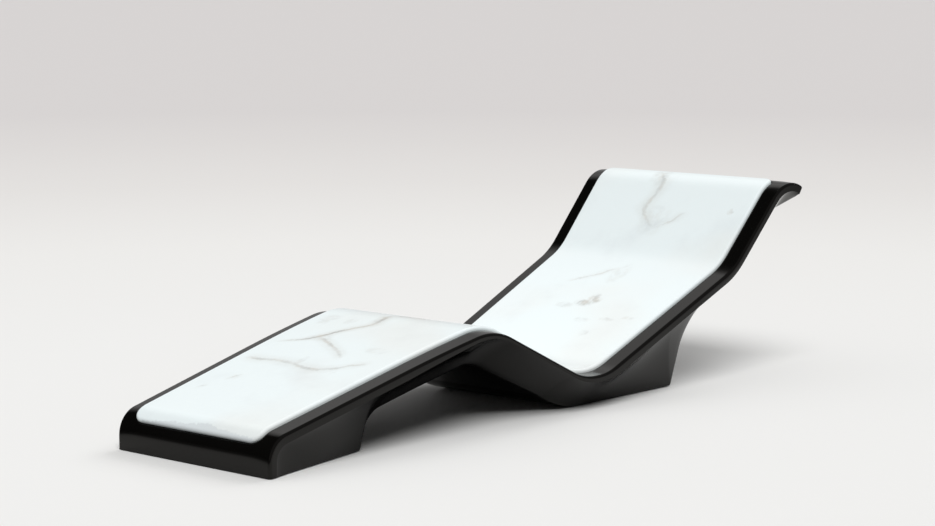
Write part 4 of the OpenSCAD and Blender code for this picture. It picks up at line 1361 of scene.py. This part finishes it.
# Each soldered part: share along, share across, half length, half width, height.
CHIPS = [
    (0.20, 0.20, 0.0075, 0.0060, 0.0014),
    (0.20, 0.45, 0.0050, 0.0040, 0.0011),
    (0.50, 0.30, 0.0045, 0.0045, 0.0009),
    (0.52, 0.62, 0.0035, 0.0055, 0.0010),
    (0.78, 0.24, 0.0055, 0.0035, 0.0012),
    (0.24, 0.74, 0.0030, 0.0030, 0.0009),
    (0.78, 0.80, 0.0050, 0.0060, 0.0014),
    (0.40, 0.86, 0.0020, 0.0012, 0.0007),
    (0.46, 0.86, 0.0020, 0.0012, 0.0007),
]


def lacquered_board():
    board = Finish("lacquered board", Roughness=0.35)
    sockets = {"Vector": board.place(), "Scale": 180.0, "Mortar Size": 0.09}
    tracks = board.node("TexBrick", sockets).outputs["Fac"]
    fibre = board.noise(1300.0, 2.0)
    tint = board.tinted(fibre, LACQUER_DARK, LACQUER_PALE)
    tint = board.blend(tracks, tint, TRACK_GREEN)
    rough = board.over(fibre, 0.28, 0.40)
    board.set(Base_Color=tint, Roughness=rough, Normal=board.bump(tracks, 0.00004, 0.6))
    return board.material


low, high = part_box("controller_board")
face = low.z + BOARD_T
layers = [(HAIR, low.z), (0.0, low.z + HAIR), (0.0, face), (HAIR, face)]
sheet = lofted("circuit_board", rounded_block(low, high, BOARD_R, layers))
dress(sheet, "body", "board", lacquered_board(), "controller_board")
chips = []
for share_x, share_y, half_x, half_y, height in CHIPS:
    middle = Vector((mix(low.x, high.x, share_x), mix(low.y, high.y, share_y), 0))
    half = Vector((half_x, half_y, 0))
    top = min(face + height, high.z)
    layers = [(0.0, face), (0.0, top - CHIP_EDGE), (CHIP_EDGE, top)]
    chips.append(rounded_block(middle - half, middle + half, CHIP_R, layers))
chip = grained(
    "moulded chip", CHIP_GRAIN, CHIP_DARK, CHIP_PALE, CHIP_GRAIN, (0.00003, 0.5), Roughness=0.55
)
dress(lofted("board_chips", *chips), "body", "board", chip)


# Terminal block
# A cream moulded strip where the heating mats' leads join the low-voltage side: a row of cells
# with a steel clamping screw in each.
CELLS = 7
CELL_GAP = 0.0003
CELL_R = 0.0006
CELL_DEEP = 0.0015
CLAMP_R = 0.0024
CLAMP_ROUND = 16
SPINE_IN = 0.004
CREAM_DARK = (0.66, 0.64, 0.52, 1)
CREAM_PALE = (0.75, 0.73, 0.62, 1)
CREAM = grained(
    "terminal moulding", (60.0, 3.0), CREAM_DARK, CREAM_PALE, (900.0, 2.0), (0.00004, 0.5),
    Roughness=0.45,
)

low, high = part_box("terminal_block")
step = (high.y - low.y) / CELLS
well = high.z - CELL_DEEP
layers = [(0.0, low.z), (0.0, high.z - 2 * CELL_DEEP), (0.0010, well), (0.0014, well)]
clamp = [
    (CLAMP_R, high.z - 0.0025),
    (CLAMP_R, high.z - 0.0004),
    (0.0020, high.z),
    (0.0006, high.z),
    (0.0005, high.z - 0.0008),
]
cells, clamps = [], []
for i in range(CELLS):
    cell_low = Vector((low.x, low.y + step * i + CELL_GAP, 0))
    cell_high = Vector((high.x, low.y + step * (i + 1) - CELL_GAP, 0))
    cells.append(rounded_block(cell_low, cell_high, CELL_R, layers))
    for share in (0.3, 0.7):
        x, y = mix(low.x, high.x, share), (cell_low.y + cell_high.y) / 2
        clamps.append(turned_rings(clamp, x, y, CLAMP_ROUND))
spine_low, spine_high = Vector((low.x + SPINE_IN, low.y, 0)), Vector((high.x - SPINE_IN, high.y, 0))
cells.append(rounded_block(spine_low, spine_high, CHIP_R, [(0.0, low.z), (0.0, high.z - SPINE_IN)]))
dress(lofted("terminal_strip", *cells), "body", "terminal", CREAM, "terminal_block")
dress(lofted("terminal_clamps", *clamps), "body", "screw", STEEL)


# Cable gland and its nut
# A black nylon gland through the pedestal's plate, with its nut below, for the supply lead
# that is wired in on site.
NYLON_DARK = (0.016, 0.016, 0.017, 1)
NYLON_PALE = (0.028, 0.028, 0.030, 1)
NYLON = grained(
    "black nylon", (120.0, 3.0), NYLON_DARK, NYLON_PALE, (1100.0, 3.0), (0.00004, 0.6), (0.34, 0.5),
    Roughness=0.42,
)

dress_node(NYLON, "cable_gland", "gland_nut")


# Leads to the mats
# Two silicone-sheathed looms from the control box, clipped under the tray, with the matt
# slightly dusty skin of silicone.
SHEATH_DARK = (0.020, 0.020, 0.022, 1)
SHEATH_DUSTY = (0.050, 0.050, 0.053, 1)


def sheathed_lead():
    lead = Finish("silicone lead", Roughness=0.58)
    dust = lead.noise(420.0, 4.0)
    tint = lead.ramp(dust, [(0.35, SHEATH_DARK), (0.75, SHEATH_DUSTY)])
    rough = lead.over(dust, 0.5, 0.68)
    lead.set(Base_Color=tint, Roughness=rough, Normal=lead.bump(dust, 0.00005, 0.5))
    return lead.material


dress_node(sheathed_lead(), "heater_loom_calf", "heater_loom_back")


# Floor
# A plain pale studio floor that reaches far behind the lounger. It darkens a little with
# distance, painted shade for the studio light falling off. Gloss and undersides see it dimmer
# than the camera does, painted shade in reflections and bounced light, dimmest in the arch and
# before the foot end, and brighter past the head end, a painted brighter reflection there.
FLOOR_R = 120.0
FLOOR_SIDES = 64
FLOOR_FADE = 12.0
# Floor colours by distance from the middle: painted shade, darker farther off where the studio light
# falls off.
FLOOR_PAINTED_FALLOFF = [
    (0.12, (0.785, 0.785, 0.775, 1)),
    (0.30, (0.765, 0.760, 0.745, 1)),
    (0.52, (0.700, 0.686, 0.672, 1)),
    (0.75, (0.656, 0.638, 0.628, 1)),
    (1.0, (0.622, 0.602, 0.597, 1)),
]
# How much of the floor's colour gloss and bounced light get: painted shade beside the lounger and
# farther off, deeper before the foot end and in the arch, and a painted brighter reflection past the
# head end.
PAINTED_SHADE_BESIDE, PAINTED_SHADE_AWAY = 0.56, 0.32
PAINTED_SHADE_FOOT = 0.12
PAINTED_SHADE_ARCH = 0.15
PAINTED_GLOW_HEAD = 3.0


def studio_floor():
    paint = Finish("pale floor", Roughness=0.9, Specular_IOR_Level=0.1)

    def away(scale, shift=(0.0, 0.0, 0.0)):
        """How far a point is from the middle of an oval on the floor."""
        moved = paint.vector("MULTIPLY", paint.vector("ADD", paint.place(), shift), scale)
        return paint.node("VectorMath", {0: moved}, operation="LENGTH").outputs["Value"]

    # Painted fall-off of light: the floor's colour darkens with distance.
    far = paint.math("DIVIDE", away((1.0, 1.0, 1.0)), FLOOR_FADE, clamp=True)
    shade = paint.ramp(far, FLOOR_PAINTED_FALLOFF)
    spot = paint.split(paint.place())
    # Painted brighter reflection past the head end, for the lip's underside.
    painted_glow_side = paint.range(spot["Y"], -1.0, -0.75, 0.0, 1.0)
    painted_glow_past_head = paint.times(painted_glow_side, paint.range(spot["X"], 1.3, 2.1, 0.0, PAINTED_GLOW_HEAD))
    # Painted shade before the foot end and in the arch, for gloss and bounced light only.
    painted_shade_before_foot = paint.range(spot["X"], -1.36, -1.05, PAINTED_SHADE_FOOT, 1.0, True)
    painted_shade_in_arch = paint.range(away((2.2, 2.4, 1.0), (0.34, 0.0, 0.0)), 0.5, 1.05, PAINTED_SHADE_ARCH, 1.0, True)
    # Painted shade on the floor for gloss and bounced light, deeper farther from the lounger.
    painted_reflection_level = paint.range(away((0.9, 2.6, 1.0)), 1.0, 4.0, PAINTED_SHADE_BESIDE, PAINTED_SHADE_AWAY, True)
    for share in (paint.math("ADD", painted_glow_past_head, 1.0), painted_shade_before_foot, painted_shade_in_arch):
        painted_reflection_level = paint.times(painted_reflection_level, share)
    # The camera gets the floor without this painted shade and brighter reflection.
    in_view = paint.node("LightPath").outputs["Is Camera Ray"]
    painted_reflection_level = paint.either(in_view, painted_reflection_level, 1.0)
    paint.set(Base_Color=paint.scaled(shade, painted_reflection_level))
    return paint.material


floor_turns = [math.tau * i / FLOOR_SIDES for i in range(FLOOR_SIDES)]
floor_mesh = bpy.data.meshes.new("floor")
floor_mesh.from_pydata(
    [(FLOOR_R * math.cos(a), FLOOR_R * math.sin(a), 0.0) for a in floor_turns],
    [],
    [tuple(range(FLOOR_SIDES))],
)
floor = bpy.data.objects.new("floor", floor_mesh)
floor_mesh.materials.append(studio_floor())
bpy.context.scene.collection.objects.link(floor)


# Light
# A wide soft light from high over the near side of the foot end, a weaker one from past the
# head end, and a pale sky that is stronger over the far side. Gloss shows none of these, but
# one bright screen behind the far side in a dim room.
SUN_SPREAD = math.radians(34)
OVERHEAD_FROM, OVERHEAD = (-0.55, -0.56, 1.0), 2.40
HEAD_END_FROM, HEAD_END = (0.75, 0.02, 0.60), 0.98
SKY = 0.33
BACKDROP = 0.72
SCREEN_AT = math.radians(48)
DIMMEST_AT = math.radians(135)


def soft_sun(name, comes_from, strength):
    """A wide, even light that keeps shadows soft. Gloss shows the screen, not this."""
    sun = bpy.data.lights.new(name, "SUN")
    sun.energy = strength
    sun.angle = SUN_SPREAD
    light = bpy.data.objects.new(name, sun)
    light.rotation_euler = Vector(comes_from).to_track_quat("Z", "Y").to_euler()
    light.visible_glossy = False
    bpy.context.scene.collection.objects.link(light)


soft_sun("overhead", OVERHEAD_FROM, OVERHEAD)
soft_sun("head end", HEAD_END_FROM, HEAD_END)

world = bpy.data.worlds.new("studio")
bpy.context.scene.world = world
world.use_nodes = True


class Room(Finish):
    """The same short calls for the nodes of the world."""

    def __init__(self, world):
        self.tree = world.node_tree
        self.shader = self.tree.nodes["Background"]


room = Room(world)
way = room.split(room.node("TexCoord").outputs["Generated"])
turn = room.math("ARCTAN2", way["Y"], way["X"])
side = room.range(room.apart(turn, SCREEN_AT), 0.22, 0.66, 1.0, 0.0, True)
low = room.range(way["Z"], 0.76, 0.86, 1.0, 0.0, True)
shine = room.range(way["Z"], 0.50, 0.66, 0.31, 0.60, True)
screen = room.times(room.times(side, low), shine)
dim = room.range(room.apart(turn, DIMMEST_AT), 0.9, 1.6, 0.01, 0.13, True)
gloss = room.math("ADD", screen, dim)
rays = room.node("LightPath").outputs
height = room.math("ADD", way["Z"], room.times(way["Y"], 0.5))
sky = room.range(height, -0.2, 0.9, 0.02 * SKY, 1.35 * SKY)
light = room.either(rays["Is Glossy Ray"], sky, gloss)
light = room.either(rays["Is Camera Ray"], light, BACKDROP)
room.shader.inputs["Color"].default_value = (1.0, 0.99, 0.985, 1)
room.set(Strength=light)
